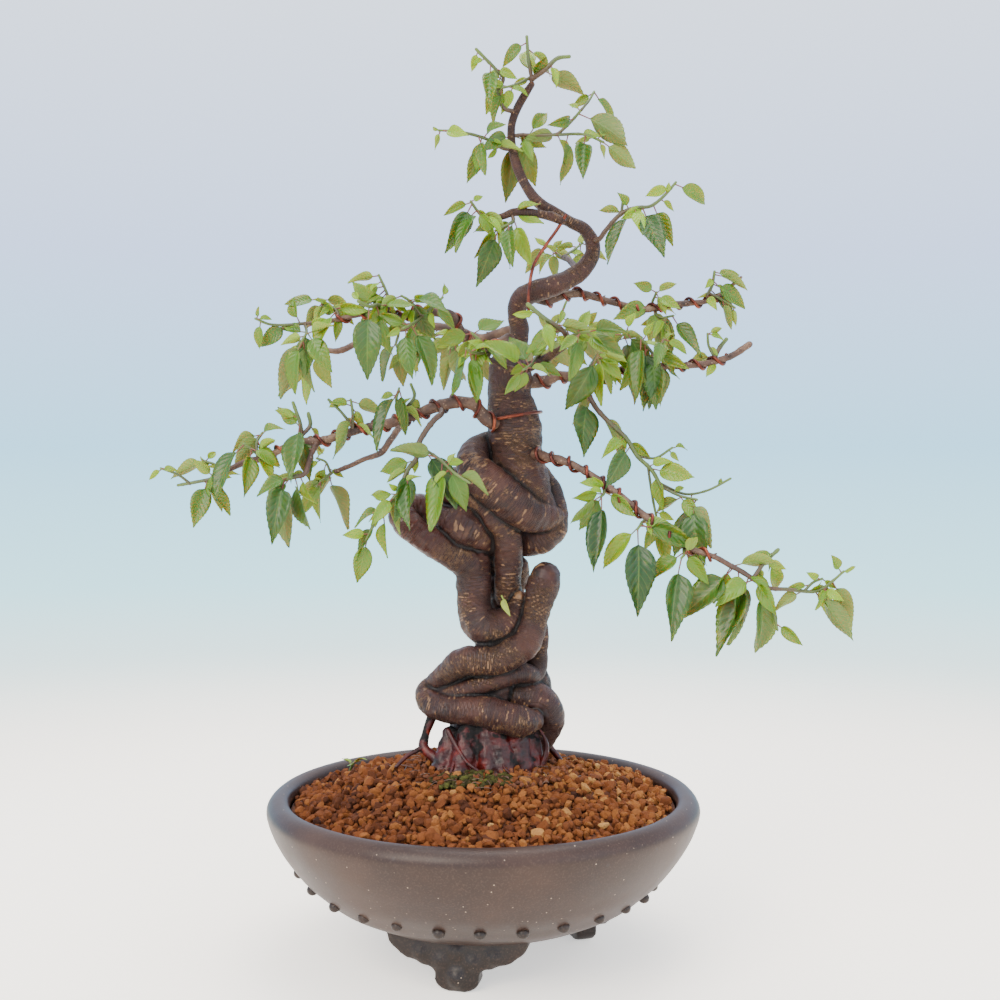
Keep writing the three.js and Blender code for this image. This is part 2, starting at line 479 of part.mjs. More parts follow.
const colours = {
  pot: { color: 0x69554e, roughness: 0.75 },
  soil: { color: 0xa05f32, roughness: 0.95 },
  bark: { color: 0x4b3732, roughness: 0.8 },
  branch: { color: 0x6a4a3c, roughness: 0.75 },
  leaf: { color: 0x4f7d3e, roughness: 0.5 },
  copper: { color: 0x96503a, roughness: 0.4, metalness: 0.8 },
  screen: { color: 0x2a2c2b, roughness: 0.6 },
  moss: { color: 0x7a8050, roughness: 1 },
  dryLeaf: { color: 0xb58a45, roughness: 0.7 },
};

// ---------------------------------------------------------------- solids

/** A closed three.js geometry as a manifold-3d solid. */
function solidOf(geometry) {
  const bare = geometry.clone();
  bare.deleteAttribute('normal');
  bare.deleteAttribute('uv');
  const merged = mergeVertices(bare, 1e-4);
  const mesh = new wasm.Mesh({
    numProp: 3,
    vertProperties: new Float32Array(merged.attributes.position.array),
    triVerts: new Uint32Array(merged.index.array),
  });
  const solid = new wasm.Manifold(mesh);
  return solid;
}

/** The three.js geometry of a solid. */
function geometryOf(solid) {
  const mesh = solid.getMesh();
  const geometry = new THREE.BufferGeometry();
  geometry.setAttribute('position', new THREE.BufferAttribute(mesh.vertProperties, 3));
  geometry.setIndex(new THREE.BufferAttribute(mesh.triVerts, 1));
  geometry.computeVertexNormals();
  return geometry;
}

function join(solids) {
  return wasm.Manifold.union(solids);
}

/** A number from 0 to 1 that looks random but is always the same for the same seed. */
function scatter(seed) {
  const wave = Math.sin(seed * 12.9898 + 4.137) * 43758.5453;
  return wave - Math.floor(wave);
}

// ---------------------------------------------------------------- limbs

/** A centreline through points, with the radius along it. */
class Limb {
  constructor(points, girth = 1) {
    this.radii = points.map((point) => point[3] * girth);
    const places = points.map((point) => new THREE.Vector3(...point.slice(0, 3)));
    this.curve = new THREE.CatmullRomCurve3(places, false, 'centripetal');
    this.length = this.curve.getLength();
  }

  radiusAt(u) {
    const t = this.curve.getUtoTmapping(u) * (this.radii.length - 1);
    const i = Math.min(Math.floor(t), this.radii.length - 2);
    return THREE.MathUtils.lerp(this.radii[i], this.radii[i + 1], t - i);
  }

  at(u) {
    return this.curve.getPointAt(u);
  }

  ringCount(step) {
    return Math.max(1, Math.round(this.length / step));
  }

  /** A place on the straight line between two of the tube's rings. */
  insideTube(u, step) {
    const rings = this.ringCount(step);
    const ring = Math.min(Math.floor(u * rings), rings - 1);
    return this.at(ring / rings).lerp(this.at((ring + 1) / rings), u * rings - ring);
  }

  /** The closed tube round the limb: a cylinder bent along the centreline. */
  tube(sides, step, extra = 0) {
    const rings = this.ringCount(step);
    const frames = this.curve.computeFrenetFrames(rings, false);
    const geometry = new THREE.CylinderGeometry(1, 1, 1, sides, rings);
    geometry.deleteAttribute('normal');
    geometry.deleteAttribute('uv');
    const bent = mergeVertices(geometry, 1e-4);
    const place = bent.attributes.position;
    const corners = [];
    for (let i = 0; i < place.count; i += 1) {
      const [x, y, z] = [place.getX(i), place.getY(i), place.getZ(i)];
      const middle = Math.hypot(x, z) < 0.1;
      const turn = Math.atan2(z, x) / Math.PI / 2;
      const side = middle ? 'middle' : Math.round((turn + 1) * sides) % sides;
      corners.push({ i, ring: Math.round((0.5 - y) * rings), side, x, z });
    }
    corners.sort((a, b) => a.ring - b.ring);
    const previous = new Map();
    for (const { i, ring, side, x, z } of corners) {
      const u = ring / rings;
      const outward = frames.normals[ring].clone().multiplyScalar(x)
        .addScaledVector(frames.binormals[ring], z);
      const point = this.at(u).addScaledVector(outward, this.radiusAt(u));
      const last = previous.get(side);
      if (last && last.ring < ring && side !== 'middle') {
        keepForward(point, last.point, frames.tangents[ring]);
      }
      previous.set(side, { ring, point: point.clone() });
      point.addScaledVector(outward, extra);
      if (ring === 0) point.addScaledVector(frames.tangents[ring], -extra);
      if (ring === rings) point.addScaledVector(frames.tangents[ring], extra);
      place.setXYZ(i, point.x, point.y, point.z);
    }
    return solidOf(bent);
  }
}

/** On the inside of a tight bend, a ring's point never falls behind the ring before it. */
function keepForward(point, last, along) {
  const least = 0.05;
  const step = point.clone().sub(last).dot(along);
  if (step < least) point.addScaledVector(along, least - step);
}

const spreadScale = treeSpread / givenSpread;
const riseScale = treeHeight / givenHeight;
const crownHeight = potHeight + soilRise;

/** A point of the tree, from the soil's crown, as a place above the floor. */
function onTree([x, y, z, ...rest]) {
  return [x * spreadScale, y * spreadScale, crownHeight + z * riseScale, ...rest];
}

const trunkLimbs = Object.values(trunkStrands).map((points) => new Limb(points.map(onTree), trunkGirth));

/** The nearest point to a place on the centrelines of some limbs. */
function nearestOn(limbs, place) {
  const steps = 60;
  let best = null;
  for (const limb of limbs) {
    for (let i = 0; i <= steps; i += 1) {
      const centre = limb.at(i / steps);
      const gap = centre.distanceTo(place) - limb.radiusAt(i / steps);
      if (!best || gap < best.gap) best = { centre, gap };
    }
  }
  return best.centre;
}

/** A limb that starts on the centreline of the one that it grows from. */
function rootedLimb(points, hosts) {
  const path = points.map(onTree);
  const start = new THREE.Vector3(...path[0]);
  const root = nearestOn(hosts, start);
  const startsInside = root.distanceTo(start) < 1.5;
  return new Limb(startsInside ? path : [[...root.toArray(), path[0][3]], ...path], branchGirth);
}

/** Branches by name: the first limb of each grows from the trunk, and the others from that one. */
function branchesOf(table) {
  return Object.fromEntries(Object.entries(table).map(([name, [main, ...sides]]) => {
    const mainLimb = rootedLimb(main, trunkLimbs);
    return [name, [mainLimb, ...sides.map((side) => rootedLimb(side, [mainLimb]))]];
  }));
}
const branchLimbs = branchesOf(branches);
const spurLimbs = branchesOf(trunkSpurs);

// ---------------------------------------------------------------- leaves and shoots

/** A leaf with its stalk: a folded kite, three-sided in section. */
function leafSolid(base, direction, length, roll, extra) {
  const stalk = 0.4 + extra;
  const rim = extra * 4; // the thin margin has to grow further to leave the same gap beside it
  const half = (length * leafWidth) / 2 + rim;
  const fold = 0.9 + extra;
  const widest = 0.6; // as a share of the length
  const droop = 0.08;
  const geometry = new THREE.ConeGeometry(1, 1, 3, 2);
  geometry.deleteAttribute('normal');
  geometry.deleteAttribute('uv');
  const kite = mergeVertices(geometry, 1e-4);
  const place = kite.attributes.position;
  const side = direction.clone().cross(new THREE.Vector3(0, 1, 0));
  side.normalize().applyAxisAngle(direction, roll);
  const up = side.clone().cross(direction).normalize();
  for (let i = 0; i < place.count; i += 1) {
    const row = Math.round((place.getY(i) + 0.5) * 2); // 0 stalk, 1 widest, 2 tip
    const turn = Math.atan2(place.getZ(i), place.getX(i));
    const middle = Math.hypot(place.getX(i), place.getZ(i)) < 0.1;
    const [across, thick] = middle ? [0, 0] : [[stalk, stalk], [half, fold]][row];
    const along = [0, widest * length, length + rim][row];
    const point = base.clone()
      .addScaledVector(direction, along)
      .addScaledVector(side, (Math.cos(turn) * across) / Math.cos(Math.PI / 6))
      .addScaledVector(up, Math.sin(turn) * thick);
    if (row === 2) point.z -= droop * (length + rim / (1 - widest));
    place.setXYZ(i, point.x, point.y, point.z);
  }
  return solidOf(kite);
}

/** Which way a leaf points: its lean is in degrees from straight down, towards +X. */
function leafDirection(lean, seed) {
  const angle = THREE.MathUtils.degToRad(lean);
  const depth = (scatter(seed) - 0.5) * 1.3;
  return new THREE.Vector3(Math.sin(angle), depth, -Math.cos(angle)).normalize();
}

const allLimbs = [...trunkLimbs, ...Object.values(branchLimbs).flat(), ...Object.values(spurLimbs).flat()];

const twigSides = 4;
const twigStep = 18;
const twigFullness = 1.15; // makes up for the corners of a four-sided twig

/** The limbs of a shoot's twigs: the first grows from a branch, and the others from those before. */
function twigLimbs(twigs) {
  const limbs = [];
  for (const { line, girth } of twigs) {
    const last = line.length - 1;
    const points = line.map((point, i) => (
      [...point, THREE.MathUtils.lerp(girth[0], girth[1], i / last) * twigFullness]
    ));
    limbs.push(rootedLimb(points, limbs.length ? limbs : allLimbs));
  }
  return limbs;
}

/** A shoot: its twigs and the leaves on them. */
function shootSolid(twigs, seed, extra) {
  const limbs = twigLimbs(twigs);
  const parts = limbs.map((limb) => limb.tube(twigSides, twigStep, extra));
  twigs.forEach((twig, t) => {
    twig.leaves.forEach(([along, lean, length], i) => {
      if (length < shortestLeaf) return;
      const key = seed * 31 + t * 7 + i;
      const direction = leafDirection(lean, key);
      const shown = Math.hypot(direction.x, direction.z);
      const roll = (scatter(key + 0.5) - 0.5) * 2;
      const base = limbs[t].insideTube(Math.min(along, 0.98), twigStep);
      parts.push(leafSolid(base, direction, (length * leafLength) / shown, roll, extra));
    });
  });
  return join(parts);
}

// ---------------------------------------------------------------- pot

/** A closed outline of [radius, height] turned about the pot's axis. */
function turned(outline, segments) {
  const points = outline.map(([r, z]) => new THREE.Vector2(r, z));
  const geometry = new THREE.LatheGeometry(points, segments);
  return solidOf(geometry.rotateX(Math.PI / 2));
}

const bowlSegments = 36;

/** The bowl's outer wall from its underside to its bulge, as shares of their difference. */
const wallShape = [[0, 0], [0.25, 0.09], [0.53, 0.28], [0.78, 0.55], [1, 1]];
const underRadius = potRadius - 60;
const bulgeHeight = potHeight - 9;

function outerWall() {
  return wallShape.map(([out, up]) => [
    THREE.MathUtils.lerp(underRadius, potRadius, out),
    THREE.MathUtils.lerp(footHeight, bulgeHeight, up),
  ]);
}

const innerRadius = potRadius - lipWidth;
const floorTop = footHeight + potWall;

/** The bowl's inside from the lip down to its floor. */
function innerWall(inset = 0) {
  const span = innerRadius - underRadius;
  return [
    [innerRadius - inset, potHeight - lipDrop],
    [innerRadius + 3 - inset, potHeight - lipDrop - 10],
    [underRadius + span * 0.93 - inset, floorTop + 30 + inset],
    [underRadius + span * 0.62 - inset, floorTop + 12 + inset],
    [underRadius + span * 0.2 - inset, floorTop + inset],
  ];
}

function footSolid(turn) {
  const sole = 9; // half width of the flat that stands on the floor
  const lobe = 13; // half width of the lobe above it
  const wing = 41; // half width where the foot meets the bowl
  const top = footHeight + 14;
  const outline = new THREE.Shape();
  outline.moveTo(-sole, 0);
  outline.lineTo(sole, 0);
  outline.quadraticCurveTo(lobe, 1.5, lobe, 9);
  outline.lineTo(lobe + 1, 13);
  outline.quadraticCurveTo(wing - 8, 17, wing, footHeight + 2);
  outline.lineTo(wing - 4, top);
  outline.lineTo(4 - wing, top);
  outline.lineTo(-wing, footHeight + 2);
  outline.quadraticCurveTo(8 - wing, 17, -lobe - 1, 13);
  outline.lineTo(-lobe, 9);
  outline.quadraticCurveTo(-lobe, 1.5, -sole, 0);
  const geometry = new THREE.ExtrudeGeometry(outline, {
    depth: footThickness, bevelEnabled: false, curveSegments: 4,
  });
  geometry.translate(0, 0, -footThickness / 2).rotateX(Math.PI / 2);
  geometry.translate(0, -footReach, 0).rotateZ(turn);
  return solidOf(geometry);
}

const footTurns = Array.from({ length: footCount }, (_, i) => (
  THREE.MathUtils.degToRad(-footTurn) + (i / footCount) * Math.PI * 2
));

function potSolid() {
  const lip = [
    [potRadius - 1.5, potHeight - 4], [potRadius - 5, potHeight - 0.8],
    [potRadius - 9, potHeight], [potRadius - 12, potHeight - 1.5],
  ];
  const outside = [[0, footHeight], ...outerWall(), ...lip];
  const bowl = turned([...outside, ...innerWall(), [0, floorTop]], bowlSegments);
  const outsideBody = turned([...outside, [0, potHeight - 1.5]], bowlSegments);
  const hollow = outsideBody.subtract(bowl);
  const [, , low, high] = outerWall();
  const studs = Array.from({ length: studCount }, (_, i) => {
    const turn = (i / studCount) * Math.PI * 2;
    const rise = 0.05 + 0.6 * Math.max(0, -Math.cos(turn)) ** 6; // the row climbs on one side
    const out = THREE.MathUtils.lerp(low[0], high[0], rise);
    const up = THREE.MathUtils.lerp(low[1], high[1], rise);
    const stud = new THREE.SphereGeometry(studRadius, 6, 4);
    return solidOf(stud.translate(Math.cos(turn) * out, Math.sin(turn) * out, up));
  });
  const feet = footTurns.map(footSolid);
  const drain = new THREE.CylinderGeometry(drainHoleRadius, drainHoleRadius, potWall * 3, 20);
  drain.rotateX(Math.PI / 2).translate(0, 0, footHeight + potWall / 2);
  return join([bowl, ...studs, ...feet]).subtract(hollow).subtract(solidOf(drain));
}

/** The screen over the drain hole: crossing bars in one sheet. */
function screenSolid() {
  const side = (drainHoleRadius + screenMargin) * 2;
  const barCount = 4;
  const barWidth = 3;
  const middle = floorTop + clearance + screenThickness / 2;
  const bars = [];
  for (let i = 0; i < barCount; i += 1) {
    const shift = (i / (barCount - 1) - 0.5) * (side - barWidth);
    bars.push(solidOf(new THREE.BoxGeometry(side, barWidth, screenThickness).translate(0, shift, middle)));
    bars.push(solidOf(new THREE.BoxGeometry(barWidth, side, screenThickness).translate(shift, 0, middle)));
  }
  return join(bars);
}

// ---------------------------------------------------------------- soil and what grows on it

/** The height of the soil's surface at a distance from the pot's axis. */
function soilHeight(radius) {
  const edge = innerRadius - clearance;
  const share = Math.min(1, radius / edge);
  const fall = soilRise + soilDip;
  return crownHeight - fall * share ** 1.5;
}

function soilSolid(extra = 0) {
  const edge = innerRadius - clearance + extra;
  const steps = 5;
  const top = Array.from({ length: steps + 1 }, (_, i) => {
    const radius = edge * (1 - i / steps);
    return [radius, soilHeight(radius) + extra];
  });
  const under = floorTop + screenThickness + clearance * 2;
  const wall = innerWall(clearance).reverse();
  const base = [wall[0][0], Math.max(under, wall[0][1])];
  return turned([[0, under], base, ...wall.slice(1, -1), ...top], bowlSegments);
}

function mossSolid(extra = 0) {
  const { x, y, half } = mossPatch;
  const geometry = new THREE.SphereGeometry(1, 12, 8);
  geometry.scale(half[0] + extra, half[1] + extra, half[2] + extra);
  return solidOf(geometry.translate(x, y, soilHeight(Math.hypot(x, y))));
}

function seedlingSolid(extra = 0) {
  const [x, y] = seedling.at;
  const foot = soilHeight(Math.hypot(x, y)) - 3;
  const stem = new Limb([[x, y, foot, 0.9], [x + 1, y, foot + seedling.height / 2, 0.8],
    [x + 3, y - 1, foot + seedling.height, 0.7]]);
  const parts = [stem.tube(twigSides, twigStep, extra)];
  for (let i = 0; i < seedling.leafCount; i += 1) {
    const turn = i * 2.4;
    const direction = new THREE.Vector3(Math.cos(turn), Math.sin(turn), 0.35).normalize();
    const along = 0.99 - i * 0.1;
    parts.push(leafSolid(stem.at(along), direction, seedling.leafLength, 0, extra));
  }
  return join(parts);
}

function fallenLeafSolid(extra = 0) {
  const [x, y, z] = onTree(fallenLeaf.at);
  const direction = new THREE.Vector3(0.5, -0.35, -0.8).normalize();
  return leafSolid(new THREE.Vector3(x, y, z), direction, fallenLeaf.length, 0.3, extra);
}

// ---------------------------------------------------------------- wires

function wirePath(limb, from, to, phase) {
  const span = (to - from) * limb.length;
  const turns = span / wirePitch;
  const stepsPerTurn = 6;
  const steps = Math.round(turns * stepsPerTurn);
  const frames = limb.curve.computeFrenetFrames(200, false);
  const slack = 1 / Math.cos(Math.PI / stepsPerTurn);
  return Array.from({ length: steps + 1 }, (_, i) => {
    const u = from + ((to - from) * i) / steps;
    const turn = (phase + (turns * i) / steps) * Math.PI * 2;
    const frame = Math.round(u * 200);
    const away = (limb.radiusAt(u) + clearance + wireRadius) * slack + 0.2;
    return limb.at(u)
      .addScaledVector(frames.normals[frame], Math.cos(turn) * away)
      .addScaledVector(frames.binormals[frame], Math.sin(turn) * away);
  });
}

/** A wire of round section swept along its path. */
function wireSolid(path, extra = 0) {
  const radius = wireRadius + extra;
  const section = new THREE.Shape();
  const sides = 4;
  for (let i = 0; i < sides; i += 1) {
    const turn = (i / sides) * Math.PI * 2;
    section[i ? 'lineTo' : 'moveTo'](Math.cos(turn) * radius, Math.sin(turn) * radius);
  }
  const route = new THREE.CatmullRomCurve3(path, false, 'centripetal');
  return solidOf(new THREE.ExtrudeGeometry(section, {
    steps: path.length - 1, extrudePath: route, bevelEnabled: false,
  }));
}

/** A ring of wire round the trunk, with open ends. */
function trunkTiePath() {
  const height = 207;
  const limb = new Limb(trunkStrands.main.map(onTree), trunkGirth);
  const centre = new THREE.Vector3(...onTree([18, 0, height]));
  const away = limb.radiusAt(0.33) + wireRadius + 1;
  const steps = 16;
  return Array.from({ length: steps + 1 }, (_, i) => {
    const turn = Math.PI * (0.6 + (1.8 * i) / steps);
    return new THREE.Vector3(Math.cos(turn) * away, Math.sin(turn) * away, Math.cos(turn) * 3).add(centre);
  });
}

// ---------------------------------------------------------------- assembly

const root = new THREE.Group();
const tree = new THREE.Group();
root.add(tree);
const placed = [];
const finest = 0.1; // a detail smaller than this is smoothed away

function boxesMeet(a, b) {
  return [0, 1, 2].every((axis) => a.min[axis] <= b.max[axis] && b.min[axis] <= a.max[axis]);
}

/** A solid without what comes closer than the clearance to the pieces already there. */
function trimmed(solid) {
  return placed.reduce((kept, other) => (
    boxesMeet(kept.boundingBox(), other.box) ? kept.subtract(other.grown) : kept
  ), solid);
}

/**
 * Adds a named piece, trimmed to stay clear of the pieces already there. Build takes how far
 * the piece is grown all round. A tip that the trimming cuts off isn't kept.
 */
function place(name, look, build) {
  const solid = trimmed(build(0)).simplify(finest);
  const [whole] = solid.decompose().sort((a, b) => b.volume() - a.volume());
  const grown = build(clearance);
  const mesh = new THREE.Mesh(geometryOf(whole), new THREE.MeshStandardMaterial(colours[look]));
  mesh.name = name;
  tree.add(mesh);
  placed.push({ grown, box: grown.boundingBox() });
}

place('pot', 'pot', potSolid);
place('drain_screen', 'screen', screenSolid);
const trunkParts = [...trunkLimbs, ...Object.values(spurLimbs).flat()];
place('trunk', 'bark', (extra) => join(trunkParts.map((limb) => limb.tube(7, 14, extra))).simplify(0.5));
place('soil_bed', 'soil', soilSolid);
for (const [name, limbs] of Object.entries(branchLimbs)) {
  place(name, 'branch', (extra) => join(limbs.map((limb) => limb.tube(5, 13, extra))));
}
for (const [name, { on: [branch, part], from, to, phase }] of Object.entries(wires)) {
  const path = wirePath(branchLimbs[branch][part], from, to, phase);
  place(name, 'copper', (extra) => wireSolid(path, extra));
}
place('wire_guy', 'copper', (extra) => (
  wireSolid(guyWire.map((point) => new THREE.Vector3(...onTree(point))), extra)
));
place('wire_trunk_tie', 'copper', (extra) => wireSolid(trunkTiePath(), extra));
Object.entries(shoots).forEach(([name, twigs], i) => {
  place(`shoot_${name}`, 'leaf', (extra) => shootSolid(twigs, i + 1, extra));
});
place('moss', 'moss', mossSolid);
place('seedling', 'leaf', seedlingSolid);
place('fallen_leaf', 'dryLeaf', fallenLeafSolid);

// The whole object's box stands with the middle of its underside at the origin.
const box = new THREE.Box3().setFromObject(tree);
tree.position.set(-(box.min.x + box.max.x) / 2, -(box.min.y + box.max.y) / 2, -box.min.z);

export default root;
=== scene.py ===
"""The looks of a bonsai tree in a pot.

A coiled old trunk with wired branches and leafy shoots grows in granular soil, in a round,
unglazed pot on three cloud-shaped feet. Places below are in millimetres from the pot's axis,
and the tree's places count upwards from the crown of the soil; the frame gives where those are.
"""
import math

import bmesh
import bpy
import numpy as np
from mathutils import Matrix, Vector, kdtree, noise


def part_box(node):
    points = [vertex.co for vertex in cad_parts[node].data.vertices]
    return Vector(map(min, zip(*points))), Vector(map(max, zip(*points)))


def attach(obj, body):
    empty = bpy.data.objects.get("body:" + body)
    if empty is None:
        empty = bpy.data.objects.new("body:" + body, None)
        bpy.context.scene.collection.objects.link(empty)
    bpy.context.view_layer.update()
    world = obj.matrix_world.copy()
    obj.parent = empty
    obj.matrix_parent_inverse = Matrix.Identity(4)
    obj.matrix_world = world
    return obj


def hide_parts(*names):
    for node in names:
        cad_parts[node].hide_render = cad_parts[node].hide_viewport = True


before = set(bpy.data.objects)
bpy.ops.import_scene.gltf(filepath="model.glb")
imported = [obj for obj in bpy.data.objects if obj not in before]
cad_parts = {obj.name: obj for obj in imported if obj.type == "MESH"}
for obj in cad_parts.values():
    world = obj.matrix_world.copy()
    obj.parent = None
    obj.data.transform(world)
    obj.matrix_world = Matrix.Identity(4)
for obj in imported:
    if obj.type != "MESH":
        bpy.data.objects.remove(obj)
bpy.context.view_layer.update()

MM = 0.001
pot_low, pot_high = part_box("pot")
AXIS = np.array([(pot_low.x + pot_high.x) / 2, (pot_low.y + pot_high.y) / 2, 0.0])
POT_RADIUS = (pot_high.x - pot_low.x) / 2 / MM
POT_HEIGHT = pot_high.z / MM
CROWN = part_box("soil_bed")[1].z / MM  # the soil's highest place, under the trunk

FOOT_HEIGHT = 28
POT_WALL = 9
LIP_WIDTH = 14
LIP_DROP = 6
FOOT_THICKNESS = 13
FOOT_REACH = 63
FOOT_TURN = 12
FOOT_COUNT = 3
STUD_RADIUS = 3.4
STUD_COUNT = 28
DRAIN_RADIUS = 12
WIRE_RADIUS = 1.0
WIRE_PITCH = 12
LEAF_WIDTH = 0.46  # of the whole leaf's length, stalk included

# ---------------------------------------------------------------- places of the tree
# Each point is [x, y, z, radius]. A leaf is [how far along its twig, its lean in degrees from
# straight down towards +X, its length].

TRUNK_STRANDS = {
  "lower_front": [
    [30, -15, 26, 6.5], [24, -18, 26, 9.5], [15, -20, 28, 10], [5, -19, 31, 9.5], [-8, -15, 32, 9],
    [-22, -9, 32, 9], [-32, -2, 35, 8.5], [-34, 4, 40, 7.5], [-30, 6, 44, 6.5],
  ],
  "diagonal": [
    [-33, 6, 39, 5.5], [-28, 2, 46, 7], [-23, -3, 51, 7.5], [-18, -8, 56, 8], [-11, -13, 61, 9],
    [-2, -16, 62, 9], [9, -18, 63, 9], [18, -18, 67, 9], [25, -17, 72, 9], [30, -15, 84, 8],
    [33, -13, 95, 8], [35, -12, 104, 10], [37, -12, 111, 9.5],
  ],
  "lower_right": [
    [-16, 4, 36, 5.5], [-2, 4, 36, 7.5], [12, 2, 38, 9], [22, 0, 39, 10.5], [33, -1, 35, 11],
    [39, 1, 27, 11], [37, 4, 18, 10.5], [32, 6, 9, 10], [26, 6, -5, 9],
  ],
  "slim_middle": [
    [-26, -4, 40, 3.5], [-16, -9, 42, 5], [-5, -12, 46, 6], [5, -13, 49, 6], [15, -12, 52, 6],
    [24, -8, 53, 6], [30, 0, 51, 6], [33, 5, 57, 6.5], [34, 5, 66, 5], [35, 6, 74, 5],
    [33, 8, 83, 5], [27, 11, 90, 6],
  ],
  "cradle": [
    [-5, -2, 123, 9], [-5, -4, 108, 10], [-6, -5, 95, 10], [-2, -7, 84, 11.5], [5, -8, 80, 12.5],
    [14, -8, 83, 10.5], [20, -6, 90, 8], [22, -5, 97, 5.5],
  ],
  "heart": [
    [0, -4, 20, 9], [6, -5, 38, 10], [10, -4, 56, 10],
  ],
  "core": [
    [4, 6, 7, 18], [5, 10, 24, 16], [6, 12, 40, 15], [8, 11, 58, 15], [9, 8, 74, 13],
    [12, 8, 89, 10], [10, 10, 104, 8.5],
  ],
  "elbow": [
    [-6, -3, 105, 10.5], [-7, -4, 116, 10.5], [-13, -6, 122, 10], [-22, -9, 127, 9.5],
    [-32, -12, 133, 8.5],
    [-42, -13, 140, 8.5], [-48, -9, 147, 8.5], [-46, 0, 151, 8.5], [-37, 6, 151, 9.5],
    [-29, 6, 146, 10],
  ],
  "knuckle": [
    [-33, 7, 148, 7.5], [-25, 4, 145, 9.5], [-18, -2, 141, 12.5], [-11, -6, 140, 14],
    [-4, -4, 136, 11], [3, 0, 131, 8.5],
  ],
  "inner_stem": [
    [-19, 14, 170, 7], [-22, 10, 163, 7], [-18, 3, 159, 7], [-10, -3, 158, 7.5], [-1, -8, 154, 7.5],
    [7, -10, 146, 8], [13, -9, 139, 8], [15, -6, 129, 9], [15, -3, 119, 8.5], [15, 0, 107, 8.5],
    [15, 4, 95, 8.5],
  ],
  "upper_fold": [
    [15, 16, 190, 8.5], [4, 12, 190, 9], [-5, 3, 184, 10], [-6, -7, 177, 10.5], [0, -13, 170, 11.5],
    [9, -15, 162, 12], [19, -13, 154, 12.5], [28, -8, 149, 11.5], [37, -2, 147, 9],
    [43, 4, 146, 7.5],
  ],
  "main": [
    [15, 0, 238, 11.5], [16, 0, 230, 13], [16, 0, 218, 13.5], [18, 0, 207, 15.5],
    [19, 0, 199, 16.5],
    [20, 1, 190, 15.5], [21, 1, 180, 15], [24, 0, 170, 15.5], [28, 0, 159, 14.5],
    [34, 2, 150, 11.5],
  ],
  "return_loop": [
    [35, 8, 172, 6.5], [41, 8, 160, 7.5], [43, 7, 151, 8], [42, 6, 141, 9.5], [35, 6, 134, 10.5],
    [27, 9, 132, 10], [17, 14, 132, 9.5], [9, 17, 124, 9], [6, 16, 110, 9], [8, 14, 92, 9],
  ],
  "back_wrap": [
    [22, 14, 116, 6], [20, 21, 107, 8], [10, 25, 94, 9], [1, 22, 83, 9], [-1, 15, 75, 8],
    [3, 7, 70, 6.5],
  ],
  "back_coil": [
    [-25, 9, 32, 8], [-14, 16, 42, 9.5], [3, 20, 52, 10.5], [20, 16, 59, 10], [30, 9, 50, 9],
    [33, 12, 34, 9.5], [24, 18, 16, 10],
  ],
  "leader": [
    [17, 2, 234, 8], [20, 6, 247, 6], [22, 6, 260, 6], [20, 4, 270, 5.5], [23, 0, 278, 6.5],
    [31, -3, 282, 6.5], [41, -3, 285, 6.5], [50, 0, 289, 6], [60, 3, 296, 5.5], [66, 5, 306, 4.5],
    [66, 5, 312, 4.5], [61, 3, 320, 4], [52, 0, 324, 3.5], [43, -2, 329, 3.5], [33, -3, 335, 3.5],
    [26, -3, 344, 3], [20, -2, 357, 3], [17, 0, 371, 2.5], [17, 0, 382, 2.5], [20, 0, 391, 2.5],
    [25, 0, 400, 2.5], [29, 0, 406, 2],
  ],
}

